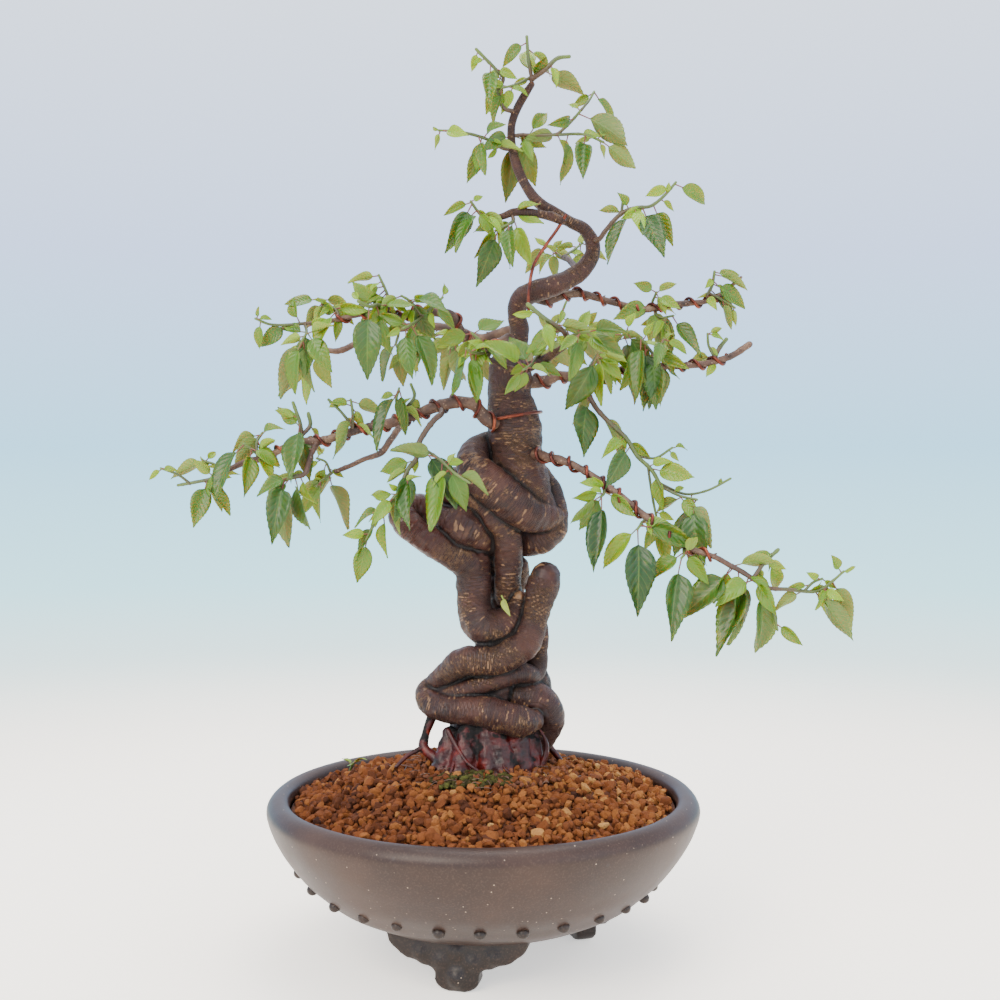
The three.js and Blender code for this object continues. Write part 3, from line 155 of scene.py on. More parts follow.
BRANCHES = {
  "branch_left_lower": [
    [
      [3, -14, 204, 4], [-5, -18, 213, 3.5], [-13, -20, 215, 3.5], [-20, -20, 214, 3.5],
      [-28, -20, 212, 3.5], [-38, -20, 208, 3], [-49, -20, 204, 3], [-61, -20, 201, 3],
      [-71, -22, 199, 2.5], [-81, -24, 196, 2.5], [-94, -26, 192, 2.5], [-107, -26, 191, 2.5],
      [-118, -24, 187, 2], [-128, -22, 182, 2], [-138, -22, 180, 2], [-150, -22, 175, 1.5],
    ],
    [
      [-46, -19, 205, 2], [-52, -6, 198, 2], [-57, 2, 192, 2], [-63, 8, 185, 2],
      [-72, 12, 182, 1.5],
      [-81, 14, 178, 1.5], [-91, 14, 174, 1.5],
    ],
    [
      [-96, -26, 192, 2], [-99, -34, 184, 1.5], [-101, -40, 174, 1.5],
    ],
  ],
  "branch_left_upper": [
    [
      [16, -2, 253, 3.5], [10, -10, 250, 3], [4, -14, 246, 3], [-5, -18, 247, 3],
      [-13, -22, 256, 3],
      [-18, -26, 265, 2.5], [-26, -30, 266, 2.5], [-38, -34, 266, 2.5], [-48, -36, 263, 2],
      [-59, -38, 265, 2], [-71, -38, 264, 1.5], [-84, -38, 261, 1.5], [-98, -38, 259, 1],
    ],
  ],
  "branch_left_middle": [
    [
      [17, 16, 261, 3], [8, 22, 259, 3], [-2, 26, 257, 2.5], [-18, 32, 263, 2.5],
      [-33, 34, 265, 2.5],
      [-54, 36, 264, 2.5], [-74, 38, 258, 2], [-92, 38, 250, 2], [-102, 38, 251, 1.5],
    ],
  ],
  "branch_right_middle": [
    [
      [27, 4, 228, 4], [38, 4, 229, 3.5], [45, 4, 232, 3], [55, 4, 231, 3], [65, 4, 232, 2.5],
      [77, 4, 234, 2.5], [89, 4, 237, 2], [105, 4, 238, 2], [121, 4, 238, 2], [138, 4, 240, 2],
      [152, 4, 245, 2], [161, 4, 251, 2],
    ],
  ],
  "branch_right_upper": [
    [
      [33, 8, 279, 3], [39, 10, 278, 3], [47, 12, 281, 2.5], [59, 14, 283, 2.5], [71, 16, 280, 2],
      [80, 18, 278, 2], [93, 20, 275, 2], [101, 20, 274, 2], [113, 22, 277, 2], [126, 22, 278, 2],
      [137, 22, 279, 1.5], [145, 22, 282, 1.5], [159, 22, 294, 1],
    ],
  ],
  "branch_cascade": [
    [
      [34, -14, 184, 3], [39, -20, 182, 2.5], [45, -25, 181, 2.5], [56, -32, 176, 2],
      [70, -38, 167, 2], [80, -44, 159, 2], [91, -48, 150, 2], [101, -52, 142, 2],
      [111, -54, 134, 2],
      [122, -56, 129, 1.5], [131, -56, 126, 1.5], [140, -56, 121, 1.5],
    ],
  ],
}

TRUNK_SPURS = {
  "front": [
    [
      [23, -14, 234, 3.5], [29, -26, 236, 3], [37, -44, 239, 2.5], [43, -58, 242, 2],
      [49, -70, 245, 1.5],
    ],
    [
      [24, -17, 233, 2.5], [15, -30, 234, 2], [7, -38, 237, 1.5], [1, -46, 239, 1.5],
    ],
  ],
  "crown_left": [
    [
      [47, -8, 323, 2.5], [41, -11, 325, 3], [35, -12, 326, 2.5], [28, -13, 327, 2.5],
      [18, -14, 327, 2.5], [11, -16, 324, 2], [4, -18, 323, 1.5],
    ],
  ],
  "back_upper": [
    [
      [57, 14, 298, 2.5], [55, 26, 303, 2], [53, 40, 308, 2], [51, 52, 311, 2],
    ],
  ],
  "back_lower": [
    [
      [18, 20, 239, 3], [21, 36, 247, 3], [27, 54, 252, 2.5], [31, 70, 256, 2],
    ],
    [
      [20, 28, 243, 2], [10, 46, 251, 2], [-3, 62, 257, 1.5],
    ],
  ],
}

SHOOTS = {
  "apex_top": [
    {"line": [[29, 0, 409], [27, -2, 420], [26, -4, 433]], "girth": [1.2, 0.9],
      "leaves": [[0.88, -58, 18], [0.75, 55, 17], [0.25, -168, 23], [0.12, 150, 16]]},
    {"line": [[29, 0, 409], [37, -6, 413], [44, -8, 419], [51, -8, 420]], "girth": [1.6, 1.1],
      "leaves": [[0.35, 66, 26], [0.55, 10, 14]]},
    {"line": [[28, 0, 410], [19, -6, 404], [11, -10, 401]], "girth": [0.9, 0.7],
      "leaves": [[1, -15, 21], [0.8, -100, 14], [0.6, -30, 16]]},
  ],
  "apex_crown": [
    {"line": [[12, -4, 391], [9, -5, 400], [5, -6, 407]], "girth": [1.4, 1.1],
      "leaves": [[0.3, -170, 14]]},
    {"line": [[9, -5, 400], [12, -7, 408], [9, -8, 411], [-4, -12, 423]], "girth": [1.1, 1],
      "leaves": [[0.62, -4, 24], [0.95, -28, 10], [0.5, 70, 14], [0.75, -80, 9], [0.35, -20, 21]]},
  ],
  "apex_left": [
    {"line": [[12, -3, 367], [3, -8, 371], [-8, -14, 373], [-18, -16, 374], [-26, -18, 374]],
        "girth": [1.1, 0.7],
      "leaves": [[0.26, 85, 17], [0.3, -40, 24], [0.5, 14, 23], [0.45, -12, 18], [0.95, 72, 16],
        [1, -22, 10], [1, -130, 6]]},
  ],
  "apex_right": [
    {"line": [[21, 1, 376], [31, -3, 375], [44, -8, 374], [60, -12, 373], [71, -14, 368]],
        "girth": [1.2, 0.7],
      "leaves": [[0.1, 14, 27], [0.04, -4, 31], [0.2, 150, 21], [0.62, -8, 24], [0.8, -10, 26],
        [0.96, 14, 10], [1, 48, 24], [0.88, -80, 10]]},
    {"line": [[44, -8, 374], [51, -10, 380], [58, -14, 387]], "girth": [1, 0.8],
      "leaves": [[0.12, -82, 23], [0.85, 58, 33], [0.95, -130, 9]]},
    {"line": [[58, -14, 387], [63, -10, 394], [66, -6, 400]], "girth": [0.8, 0.7],
      "leaves": [[1, 38, 21], [0.9, -65, 14]]},
  ],
  "crown_right": [
    {"line": [[69, -2, 313], [74, -6, 319], [82, -10, 327], [90, -12, 330], [99, -12, 331],
        [107, -12, 337], [114, -12, 345]], "girth": [1.6, 0.8],
      "leaves": [[0.52, -26, 33], [0.55, 12, 16], [0.62, 18, 31], [0.72, 22, 26], [1, 68, 21],
        [0.95, -75, 16], [0.8, 60, 10], [0.5, -150, 14], [0.86, 170, 8]]},
    {"line": [[82, -10, 327], [83, -12, 336]], "girth": [0.9, 0.8],
      "leaves": []},
  ],
  "crown_left": [
    {"line": [[1, -18, 323], [-3, -22, 326], [-7, -26, 331]], "girth": [1.1, 0.7],
      "leaves": [[0.9, -28, 31], [0.6, -24, 24], [0.95, -72, 17], [0.5, 62, 17], [1, 120, 8]]},
  ],
  "crown_left_inner": [
    {"line": [[18, -16, 322], [15, -19, 319], [9, -21, 316]], "girth": [1.1, 0.7],
      "leaves": [[1, -24, 33], [0.6, 8, 24], [0.9, -52, 21], [0.25, 24, 27], [0.1, 0, 26]]},
  ],
  "crown_back": [
    {"line": [[50, 57, 312], [46, 66, 317], [42, 78, 323]], "girth": [0.9, 0.7],
      "leaves": [[0.5, -40, 18], [1, -50, 21], [0.9, 60, 17], [0.7, 8, 18]]},
    {"line": [[50, 57, 312], [57, 62, 317], [64, 68, 323]], "girth": [0.9, 0.7],
      "leaves": [[0.5, 30, 17], [1, 70, 18], [0.9, -20, 17], [0.8, 160, 10]]},
  ],
  "right_upper_tip": [
    {"line": [[138, 21, 282], [141, 20, 289], [142, 18, 297]], "girth": [1.1, 0.8],
      "leaves": [[1, 88, 16], [0.9, 70, 21], [0.6, 66, 24], [0.4, 56, 21], [0.8, -45, 9]]},
    {"line": [[139, 21, 284], [149, 20, 279], [155, 20, 275]], "girth": [1, 0.7],
      "leaves": [[0.5, 18, 17], [0.95, 8, 10]]},
  ],
  "right_upper_mid": [
    {"line": [[104, 20, 278], [105, 18, 281], [106, 16, 284]], "girth": [0.9, 0.7],
      "leaves": [[0.2, -76, 26], [1, -120, 16], [0.9, 125, 16], [0.7, 70, 16], [1, 20, 14]]},
  ],
  "right_upper_under": [
    {"line": [[106, 22, 272], [109, 20, 269], [117, 19, 270]], "girth": [0.9, 0.7],
      "leaves": [[0.05, 34, 27], [0.95, 34, 27], [0.7, -5, 17], [0.4, 10, 23]]},
  ],
  "right_mid_tip": [
    {"line": [[140, 4, 243], [136, 2, 250], [135, 0, 257]], "girth": [0.9, 0.7],
      "leaves": [[1, 70, 10], [1, 115, 9], [0.2, -72, 17], [0.6, 42, 8]]},
    {"line": [[140, 4, 243], [143, 4, 249], [147, 4, 254]], "girth": [1.4, 1.2],
      "leaves": []},
  ],
  "right_mid_outer": [
    {"line": [[105, 2, 241], [107, -6, 247], [107, -12, 253]], "girth": [1.1, 0.7],
      "leaves": [[0.5, -22, 33], [0.2, 14, 23], [1, -28, 18], [0.8, 26, 17], [1, 64, 16],
        [0.6, -120, 14],
        [0.9, 130, 9]]},
    {"line": [[105, 2, 241], [98, -14, 247], [92, -24, 252]], "girth": [1, 0.7],
      "leaves": [[1, -6, 33], [0.8, 12, 33], [0.6, -34, 26], [0.9, 150, 14], [0.4, 4, 31]]},
  ],
  "right_mid_inner": [
    {"line": [[78, 2, 238], [77, -8, 245], [80, -14, 252], [85, -18, 257]], "girth": [1.2, 0.7],
      "leaves": [[1, 38, 26], [0.9, 18, 36], [0.6, -60, 18], [0.75, 100, 17], [1, 160, 14],
        [0.3, -38, 21], [0.4, 68, 21]]},
    {"line": [[77, -8, 245], [69, -10, 250], [63, -10, 255]], "girth": [0.9, 0.7],
      "leaves": [[1, -42, 18], [0.8, -95, 16], [0.9, 120, 16], [0.5, 18, 23]]},
  ],
  "center_right": [
    {"line": [[64, 2, 235], [65, -18, 239], [67, -34, 243]], "girth": [1.1, 0.7],
      "leaves": [[1, -26, 34], [0.9, 8, 26], [0.7, 34, 21], [1, 72, 17]]},
  ],
  "center_fork": [
    {"line": [[47, -66, 248], [43, -74, 252], [34, -80, 257], [25, -84, 264]], "girth": [1.5, 1.2],
      "leaves": [[0.1, 36, 17], [0.35, -60, 21], [0.5, 78, 21], [0.8, -100, 14], [0.7, 20, 17]]},
    {"line": [[47, -66, 248], [53, -80, 249], [58, -88, 249]], "girth": [1.1, 0.7],
      "leaves": [[0.6, -12, 24], [0.85, 58, 23], [1, 92, 21], [0.5, 150, 17]]},
  ],
  "center_front": [
    {"line": [[32, -38, 240], [27, -50, 234], [23, -58, 231]], "girth": [1, 0.7],
      "leaves": [[1, -36, 16], [0.85, 82, 14], [0.9, -128, 30], [0.7, -155, 23], [0.6, 165, 26]]},
    {"line": [[32, -38, 240], [42, -50, 257], [47, -56, 269]], "girth": [0.9, 0.7],
      "leaves": [[0.75, 58, 16], [0.5, -50, 16], [0.9, -20, 9], [0.4, 80, 17]]},
  ],
  "center_left_front": [
    {"line": [[4, -46, 240], [1, -44, 246], [-6, -44, 253]], "girth": [1, 0.7],
      "leaves": [[1, -84, 21], [0.9, -32, 17], [0.95, 128, 21], [0.7, 42, 21], [0.45, 74, 23],
        [0.6, -14, 17]]},
    {"line": [[3, -46, 241], [-5, -52, 241], [-9, -56, 243]], "girth": [0.9, 0.7],
      "leaves": [[1, -20, 23], [0.8, 14, 24], [0.5, -6, 24]]},
  ],
  "center_left": [
    {"line": [[-18, 32, 259], [-18, 30, 254], [-21, 28, 251]], "girth": [0.9, 0.7],
      "leaves": [[1, -12, 24], [0.6, 16, 23], [0.4, -60, 17], [0.8, -100, 14]]},
  ],
  "left_upper_end": [
    {"line": [[-101, -38, 259], [-110, -40, 258], [-121, -42, 258], [-129, -44, 261]],
      "girth": [1, 0.7],
      "leaves": [[0.9, -8, 14], [1, 165, 8], [0.98, 100, 10], [0.4, -58, 21], [0.2, -168, 18],
        [0.55, 80, 10]]},
    {"line": [[-102, -38, 259], [-100, -44, 253], [-102, -48, 248]], "girth": [0.9, 0.7],
      "leaves": [[0.3, -2, 26], [0.5, 34, 26], [0.8, -26, 33], [1, -14, 27], [0.9, 16, 26]]},
  ],
  "left_upper_top": [
    {"line": [[-83, -36, 265], [-87, -34, 269], [-95, -32, 274]], "girth": [1, 0.7],
      "leaves": [[1, -84, 18], [0.9, 82, 18], [0.7, 58, 18], [0.4, 100, 21], [0.8, -40, 18],
        [0.3, -20, 26]]},
  ],
  "left_upper_mid": [
    {"line": [[-54, -40, 267], [-59, -50, 268], [-63, -60, 266], [-68, -66, 268]],
      "girth": [1.1, 1],
      "leaves": [[0.75, -4, 38], [0.5, 20, 27], [0.3, -36, 24], [1, -150, 9]]},
    {"line": [[-54, -40, 267], [-54, -41, 274], [-59, -42, 286]], "girth": [1.1, 0.7],
      "leaves": [[1, -84, 18], [0.55, -58, 24], [0.4, -30, 23], [0.65, -80, 17], [0.3, 60, 14]]},
  ],
  "left_upper_inner": [
    {"line": [[-35, -38, 263], [-40, -50, 257], [-44, -58, 254]], "girth": [1, 0.7],
      "leaves": [[0.7, 24, 33], [0.9, 4, 27], [1, -70, 10], [0.4, -24, 23]]},
    {"line": [[-35, -38, 263], [-41, -42, 271], [-46, -44, 274]], "girth": [0.9, 0.7],
      "leaves": [[1, -60, 14], [0.7, 72, 23], [0.8, 38, 24], [0.5, -30, 14], [0.6, 110, 14]]},
    {"line": [[-35, -38, 263], [-28, -38, 269], [-23, -36, 274]], "girth": [0.9, 0.7],
      "leaves": [[1, 172, 10], [0.8, -52, 16], [0.6, 42, 17]]},
  ],
  "left_mid_under": [
    {"line": [[-54, 36, 260], [-55, 32, 253], [-47, 28, 245]], "girth": [0.9, 0.7],
      "leaves": [[1, 40, 10], [0.9, -62, 14], [0.5, 10, 24], [0.3, -18, 26]]},
  ],
  "left_mid_end": [
    {"line": [[-106, 38, 251], [-110, 36, 248], [-114, 34, 246]], "girth": [0.9, 0.7],
      "leaves": [[1, -34, 26], [0.9, 8, 26], [0.5, 26, 23], [0.6, -100, 16]]},
  ],
  "left_lower_tip": [
    {"line": [[-153, -22, 174], [-159, -22, 170], [-168, -22, 168], [-179, -22, 166]],
      "girth": [1.2, 0.9],
      "leaves": [[0.42, -14, 26], [0.5, 44, 24], [0.3, 10, 18]]},
    {"line": [[-172, -22, 167], [-178, -24, 172], [-188, -26, 176]], "girth": [0.9, 0.7],
      "leaves": [[0.95, -62, 10], [1, 84, 10]]},
    {"line": [[-153, -22, 174], [-157, -22, 178], [-163, -22, 180]], "girth": [1, 0.7],
      "leaves": [[0.9, -78, 23], [0.5, -125, 12], [1, 150, 9], [0.3, -8, 17]]},
  ],
  "left_lower_outer": [
    {"line": [[-132, -24, 184], [-135, -26, 187], [-139, -28, 190]], "girth": [1, 0.7],
      "leaves": [[1, -26, 33], [0.6, -8, 23], [0.3, 32, 17]]},
    {"line": [[-132, -24, 184], [-133, -20, 191], [-130, -18, 197]], "girth": [0.9, 0.7],
      "leaves": [[0.9, -68, 21], [1, -48, 24], [0.8, 110, 17], [0.4, 60, 16]]},
  ],
  "left_lower_middle": [
    {"line": [[-106, -26, 195], [-106, -28, 201], [-110, -30, 214]], "girth": [1.3, 1],
      "leaves": [[0.3, -24, 21], [0.5, -4, 30], [0.2, 12, 24], [0.6, -120, 14]]},
    {"line": [[-106, -26, 195], [-101, -24, 201], [-102, -24, 208]], "girth": [1.3, 1.1],
      "leaves": [[0.5, 30, 9]]},
  ],
  "left_lower_under": [
    {"line": [[-103, -40, 172], [-108, -42, 171], [-114, -44, 169]], "girth": [1.4, 1.1],
      "leaves": [[0.9, -12, 33], [1, -4, 36], [0.5, 20, 30], [0.7, -26, 21], [0.3, 34, 18]]},
  ],
  "left_lower_top": [
    {"line": [[-76, -25, 200], [-76, -26, 209], [-77, -26, 216]], "girth": [1, 0.7],
      "leaves": [[1, -82, 14], [0.95, 78, 21], [0.8, -108, 14], [0.55, -28, 23]]},
    {"line": [[-76, -25, 200], [-82, -25, 208], [-90, -25, 216]], "girth": [0.9, 0.8],
      "leaves": [[0.4, 40, 10]]},
  ],
  "left_lower_root": [
    {"line": [[-48, -24, 208], [-50, -32, 215], [-48, -36, 222]], "girth": [1, 0.7],
      "leaves": [[0.95, -16, 31], [1, 14, 23], [0.8, -92, 10], [0.5, 50, 17]]},
    {"line": [[-48, -24, 208], [-40, -24, 218], [-42, -24, 225]], "girth": [1.1, 0.9],
      "leaves": [[0.7, 12, 14]]},
  ],
  "left_inner": [
    {"line": [[-94, 14, 173], [-97, 12, 170], [-100, 10, 168]], "girth": [0.9, 0.7],
      "leaves": [[0.4, 16, 31], [0.9, -36, 24], [0.7, -62, 18], [1, 5, 21]]},
    {"line": [[-94, 14, 173], [-97, 12, 180], [-102, 10, 182]], "girth": [0.8, 0.7],
      "leaves": [[0.8, -60, 10], [0.5, -16, 17], [1, 150, 9]]},
  ],
  "left_hanging": [
    {"line": [[-24, -28, 208], [-28, -32, 204], [-33, -36, 197], [-37, -40, 189], [-38, -42, 181],
        [-42, -44, 176], [-45, -46, 169], [-47, -48, 163], [-52, -48, 157], [-55, -48, 151],
        [-61, -48, 145], [-66, -48, 135]], "girth": [1.8, 0.8],
      "leaves": [[1, -16, 24], [0.88, -32, 23], [0.8, -70, 18], [0.82, 8, 23], [0.7, -46, 18],
        [0.68, -100, 16], [0.64, 2, 23], [0.5, -14, 30], [0.54, 4, 30], [0.45, -78, 21]]},
    {"line": [[-37, -40, 189], [-24, -52, 181], [-15, -60, 173], [-7, -64, 168]], "girth": [1, 0.7],
      "leaves": [[0.12, 34, 36], [0.6, 150, 10], [0.6, 30, 24], [0.5, -14, 36], [0.75, 58, 21]]},
  ],
  "cascade_leafy": [
    {"line": [[70, -40, 164], [69, -44, 161], [67, -48, 160]], "girth": [0.9, 0.7],
      "leaves": [[0.9, -4, 36], [1, -55, 21], [0.6, -34, 23], [0.4, 60, 21], [0.2, -110, 16]]},
  ],
  "cascade_middle": [
    {"line": [[91, -50, 146], [89, -54, 144], [87, -58, 142]], "girth": [0.9, 0.7],
      "leaves": [[1, -3, 43], [0.7, -40, 30], [0.5, 60, 18]]},
  ],
  "cascade_dark": [
    {"line": [[113, -57, 130], [113, -60, 128], [111, -62, 126]], "girth": [0.9, 0.7],
      "leaves": [[1, -10, 41], [0.5, -48, 24], [0.4, 40, 21], [0.7, 150, 14]]},
  ],
  "cascade_tip": [
    {"line": [[144, -56, 119], [152, -56, 114], [160, -56, 109], [172, -56, 108], [188, -56, 107],
        [196, -56, 112], [203, -56, 118]], "girth": [1.5, 0.7],
      "leaves": [[0.02, -50, 40], [0.06, -10, 38], [0.16, -28, 43], [0.2, 40, 21], [0.27, -2, 38],
        [0.62, -58, 18], [0.72, 45, 18], [0.76, 28, 30], [0.88, 32, 26], [0.84, 4, 18],
        [0.98, -150, 14], [1, 120, 10]]},
    {"line": [[152, -56, 114], [159, -54, 123], [167, -52, 130]], "girth": [1.2, 1.1],
      "leaves": [[0.95, -72, 18], [0.4, -10, 10], [0.65, 28, 18]]},
    {"line": [[181, -56, 107], [186, -56, 112], [191, -56, 114]], "girth": [0.8, 0.7],
      "leaves": [[0.4, -80, 14], [0.9, -120, 10], [1, 60, 10]]},
    {"line": [[161, -56, 109], [163, -56, 99], [166, -56, 85]], "girth": [0.8, 0.7],
      "leaves": [[0.85, 58, 16]]},
  ],
  "right_hanging": [
    {"line": [[62, -4, 226], [63, -12, 219], [67, -18, 211], [73, -22, 204], [84, -26, 193],
        [90, -28, 183], [98, -30, 175], [104, -32, 164]], "girth": [1.7, 1.1],
      "leaves": [[0.1, -24, 23], [0.22, -14, 33], [0.35, 26, 30], [0.66, -36, 26], [0.6, -50, 18],
        [0.85, 82, 24], [0.88, 20, 21]]},
    {"line": [[104, -32, 165], [114, -36, 160], [123, -40, 158]], "girth": [0.9, 0.7],
      "leaves": [[1, -22, 33], [0.9, 5, 40], [0.6, -60, 16], [0.8, 28, 26], [0.5, 40, 18]]},
    {"line": [[103, -32, 167], [118, -28, 161], [131, -26, 163], [145, -24, 170]],
      "girth": [0.8, 0.7],
      "leaves": [[0.45, -10, 10], [0.8, 150, 6]]},
    {"line": [[96, -29, 177], [99, -28, 158], [102, -26, 145]], "girth": [0.8, 0.7],
      "leaves": [[1, 20, 24], [0.95, -30, 18]]},
    {"line": [[90, -28, 183], [101, -24, 182], [111, -22, 188]], "girth": [0.8, 0.7],
      "leaves": [[1, 88, 10], [0.9, 40, 8]]},
  ],
  "back_low_right": [
    {"line": [[32, 75, 258], [40, 88, 264], [55, 100, 270], [69, 108, 272]], "girth": [1.2, 0.7],
      "leaves": [[0.2, -30, 26], [0.4, 40, 26], [0.6, -10, 27], [0.8, 60, 26], [1, 20, 26],
        [0.95, 110, 18], [0.5, 150, 18]]},
  ],
  "back_low_left": [
    {"line": [[-6, 66, 258], [-15, 80, 262], [-26, 94, 266], [-39, 104, 267]], "girth": [1.2, 0.7],
      "leaves": [[0.2, 30, 26], [0.4, -40, 26], [0.6, 10, 27], [0.8, -60, 26], [1, -20, 26],
        [0.95, -110, 18], [0.5, -150, 18]]},
  ],
}
WIRES = {
    "wire_left_lower": ("branch_left_lower", 0.06, 0.86, 0.5),
    "wire_left_upper": ("branch_left_upper", 0.18, 0.9, 0.5),
    "wire_right_upper": ("branch_right_upper", 0.08, 0.86, 0.4),
    "wire_right_middle": ("branch_right_middle", 0.08, 0.9, 0.1),
    "wire_cascade": ("branch_cascade", 0.1, 0.92, 0.3),
}

GUY_WIRE = [
    [27, -13, 266], [27, -15, 280], [30, -14, 296], [37, -10, 308], [44, -8, 318], [49, -10, 326],
]

# Thick root stubs under the trunk: a top and a bottom, each [x, y, z, radius].
ROOT_LUMPS = [
    [[-19, -6, 15, 6], [-24, -13, -6, 8]], [[-9, -13, 20, 6], [-13, -20, -6, 9]],
    [[0, -14, 20, 5], [4, -22, -6, 6]], [[7, -12, 24, 7], [13, -20, -7, 8]],
    [[17, -8, 24, 8], [23, -14, -7, 8]], [[27, -3, 18, 7], [30, -6, -7, 7]],
    [[-12, 8, 16, 9], [-17, 13, -7, 9]], [[9, 16, 16, 9], [12, 22, -7, 9]],
    [[26, 9, 14, 7], [32, 16, -7, 7]], [[4, 3, 26, 17], [4, 4, -6, 20]],
]

# Thin roots that run down over the stubs into the soil.
ROOTLETS = [
    [[-31, 0, 26, 3], [-35, -2, 15, 2.4], [-36, -5, 8, 3.2], [-30, -9, 3, 3.4], [-22, -14, -3, 3]],
    [[-21, -15, 20, 1.6], [-14, -22, 9, 1.5], [-9, -26, 3, 1.3], [-2, -28, -2, 1.2],
    [4, -29, -8, 1]],
    [[-17, -24, 3, 1], [-19, -28, -2, 0.9], [-24, -32, -8, 0.8]],
    [[-36, -6, 8, 1.6], [-45, -10, 4, 1.4], [-52, -14, -2, 1.1]],
    [[29, -9, 24, 1], [36, -10, 16, 1], [38, -9, 8, 1.6], [35, -10, -3, 1.8]],
    [[10, -20, 6, 0.9], [13, -27, 0, 0.8], [20, -31, -6, 0.7]],
    [[34, 8, 12, 2.6], [42, 10, 3, 2], [48, 12, -5, 1.6]],
    [[-2, 24, 12, 2.4], [-8, 32, 2, 2], [-12, 38, -6, 1.6]],
]


# ---------------------------------------------------------------- small mathematics


def scatter(seed):
    """A number from 0 to 1 that looks random but is always the same for the same seed."""
    wave = math.sin(seed * 12.9898 + 4.137) * 43758.5453
    return wave - math.floor(wave)


def unit(vectors):
    """Vectors scaled to a length of 1."""
    vectors = np.asarray(vectors, float)
    return vectors / np.maximum(np.linalg.norm(vectors, axis=-1, keepdims=True), 1e-9)


def turned_about(vector, axis, angle):
    """A vector turned about a unit axis."""
    vector, axis = np.asarray(vector, float), np.asarray(axis, float)
    return (
        vector * math.cos(angle)
        + np.cross(axis, vector) * math.sin(angle)
        + axis * axis.dot(vector) * (1 - math.cos(angle))
    )


def rounded_path(points, steps=24):
    """A centripetal Catmull-Rom curve through points, and how far along them each sample is."""
    points = np.asarray(points, float)
    first = 2 * points[0] - points[1]
    last = 2 * points[-1] - points[-2]
    padded = np.vstack([first, points, last])
    path, marks = [], []
    for i in range(len(points) - 1):
        p0, p1, p2, p3 = padded[i : i + 4]
        pairs = (p0, p1), (p1, p2), (p2, p3)
        d0, d1, d2 = (max(np.linalg.norm(b - a), 1e-4) ** 0.5 for a, b in pairs)
        t1 = ((p1 - p0) / d0 - (p2 - p0) / (d0 + d1) + (p2 - p1) / d1) * d1
        t2 = ((p2 - p1) / d1 - (p3 - p1) / (d1 + d2) + (p3 - p2) / d2) * d1
        w = np.linspace(0, 1, steps + 1)[(1 if i else 0) :, None]
        square = -3 * p1 + 3 * p2 - 2 * t1 - t2
        cube = 2 * p1 - 2 * p2 + t1 + t2
        path.append(p1 + t1 * w + square * w**2 + cube * w**3)
        marks.append(i + w[:, 0])
    return np.vstack(path), np.concatenate(marks)


def carried_frames(tangents):
    """Two directions across a path at each of its points, carried along it without twisting."""
    start = tangents[0]
    helper = np.zeros(3)
    helper[np.argmin(np.abs(start))] = 1
    normal = np.cross(start, unit(np.cross(start, helper)))
    normals = [normal]
    for before, after in zip(tangents[:-1], tangents[1:]):
        axis = np.cross(before, after)
        size = np.linalg.norm(axis)
        if size > 1e-7:
            angle = math.acos(max(-1.0, min(1.0, float(before.dot(after)))))
            normal = turned_about(normal, axis / size, angle)
        normals.append(normal)
    normals = np.array(normals)
    return normals, np.cross(tangents, normals)


class Limb:
    """A centreline through points, with the radius along it."""

    def __init__(self, points, girth=1.0):
        points = np.asarray(points, float)
        self.path, self.marks = rounded_path(points[:, :3])
        self.radii = points[:, 3] * girth
        steps = np.linalg.norm(np.diff(self.path, axis=0), axis=1)
        self.arc = np.concatenate([[0], np.cumsum(steps)])
        self.length = self.arc[-1]

    def at(self, share):
        reach = share * self.length
        return np.array([np.interp(reach, self.arc, self.path[:, k]) for k in range(3)]).T

    def radius_at(self, share):
        mark = np.interp(share * self.length, self.arc, self.marks)
        return np.interp(mark, np.arange(len(self.radii)), self.radii)

    def tangents_at(self, shares):
        shares = np.asarray(shares, float)
        nudge = 0.5 / max(self.length, 1)
        ahead = self.at(np.minimum(shares + nudge, 1))
        behind = self.at(np.maximum(shares - nudge, 0))
        return unit(ahead - behind)

    def shares(self, step):
        return np.linspace(0, 1, max(3, round(self.length / step) + 1))


def nearest_on(limbs, place):
    """The centre of whichever limb's surface is nearest to a place."""
    best = None
    for limb in limbs:
        shares = np.linspace(0, 1, 61)
        centres = limb.at(shares)
        gaps = np.linalg.norm(centres - place, axis=1) - limb.radius_at(shares)
        i = int(np.argmin(gaps))
        if best is None or gaps[i] < best[0]:
            best = (gaps[i], centres[i])
    return best[1]


def rooted_limb(points, hosts):
    """A limb that starts on the centreline of the one that it grows from."""
    start = np.array(points[0][:3], float)
    root = nearest_on(hosts, start)
    if np.linalg.norm(root - start) < 1.5:
        return Limb(points)
    return Limb([[*root, points[0][3]], *points])


def family(tables, trunk):
    """The limbs of each branch: the first grows from the trunk, the others from the first."""
    made = {}
    for name, (main, *sides) in tables.items():
        main_limb = rooted_limb(main, trunk)
        made[name] = [main_limb, *(rooted_limb(side, [main_limb]) for side in sides)]
    return made


trunk_limbs = [Limb(points) for points in TRUNK_STRANDS.values()]
branch_limbs = family(BRANCHES, trunk_limbs)
spur_limbs = family(TRUNK_SPURS, trunk_limbs)
all_limbs = trunk_limbs + sum(branch_limbs.values(), []) + sum(spur_limbs.values(), [])


def lumps(points, size, seed=0.0):
    """Smooth noise at each point, about -1 to 1, with lumps of the given size."""
    shift = Vector((seed, seed * 1.7, -seed))
    return np.array([noise.noise(Vector(p) / size + shift) for p in points])


def grain_of(*layers):
    """A function that gives the rise of a skin at each point, from (size, seed, height) layers."""

    def rise(points):
        return sum(lumps(points, size, seed) * height for size, seed, height in layers)

    return rise


# ---------------------------------------------------------------- forms


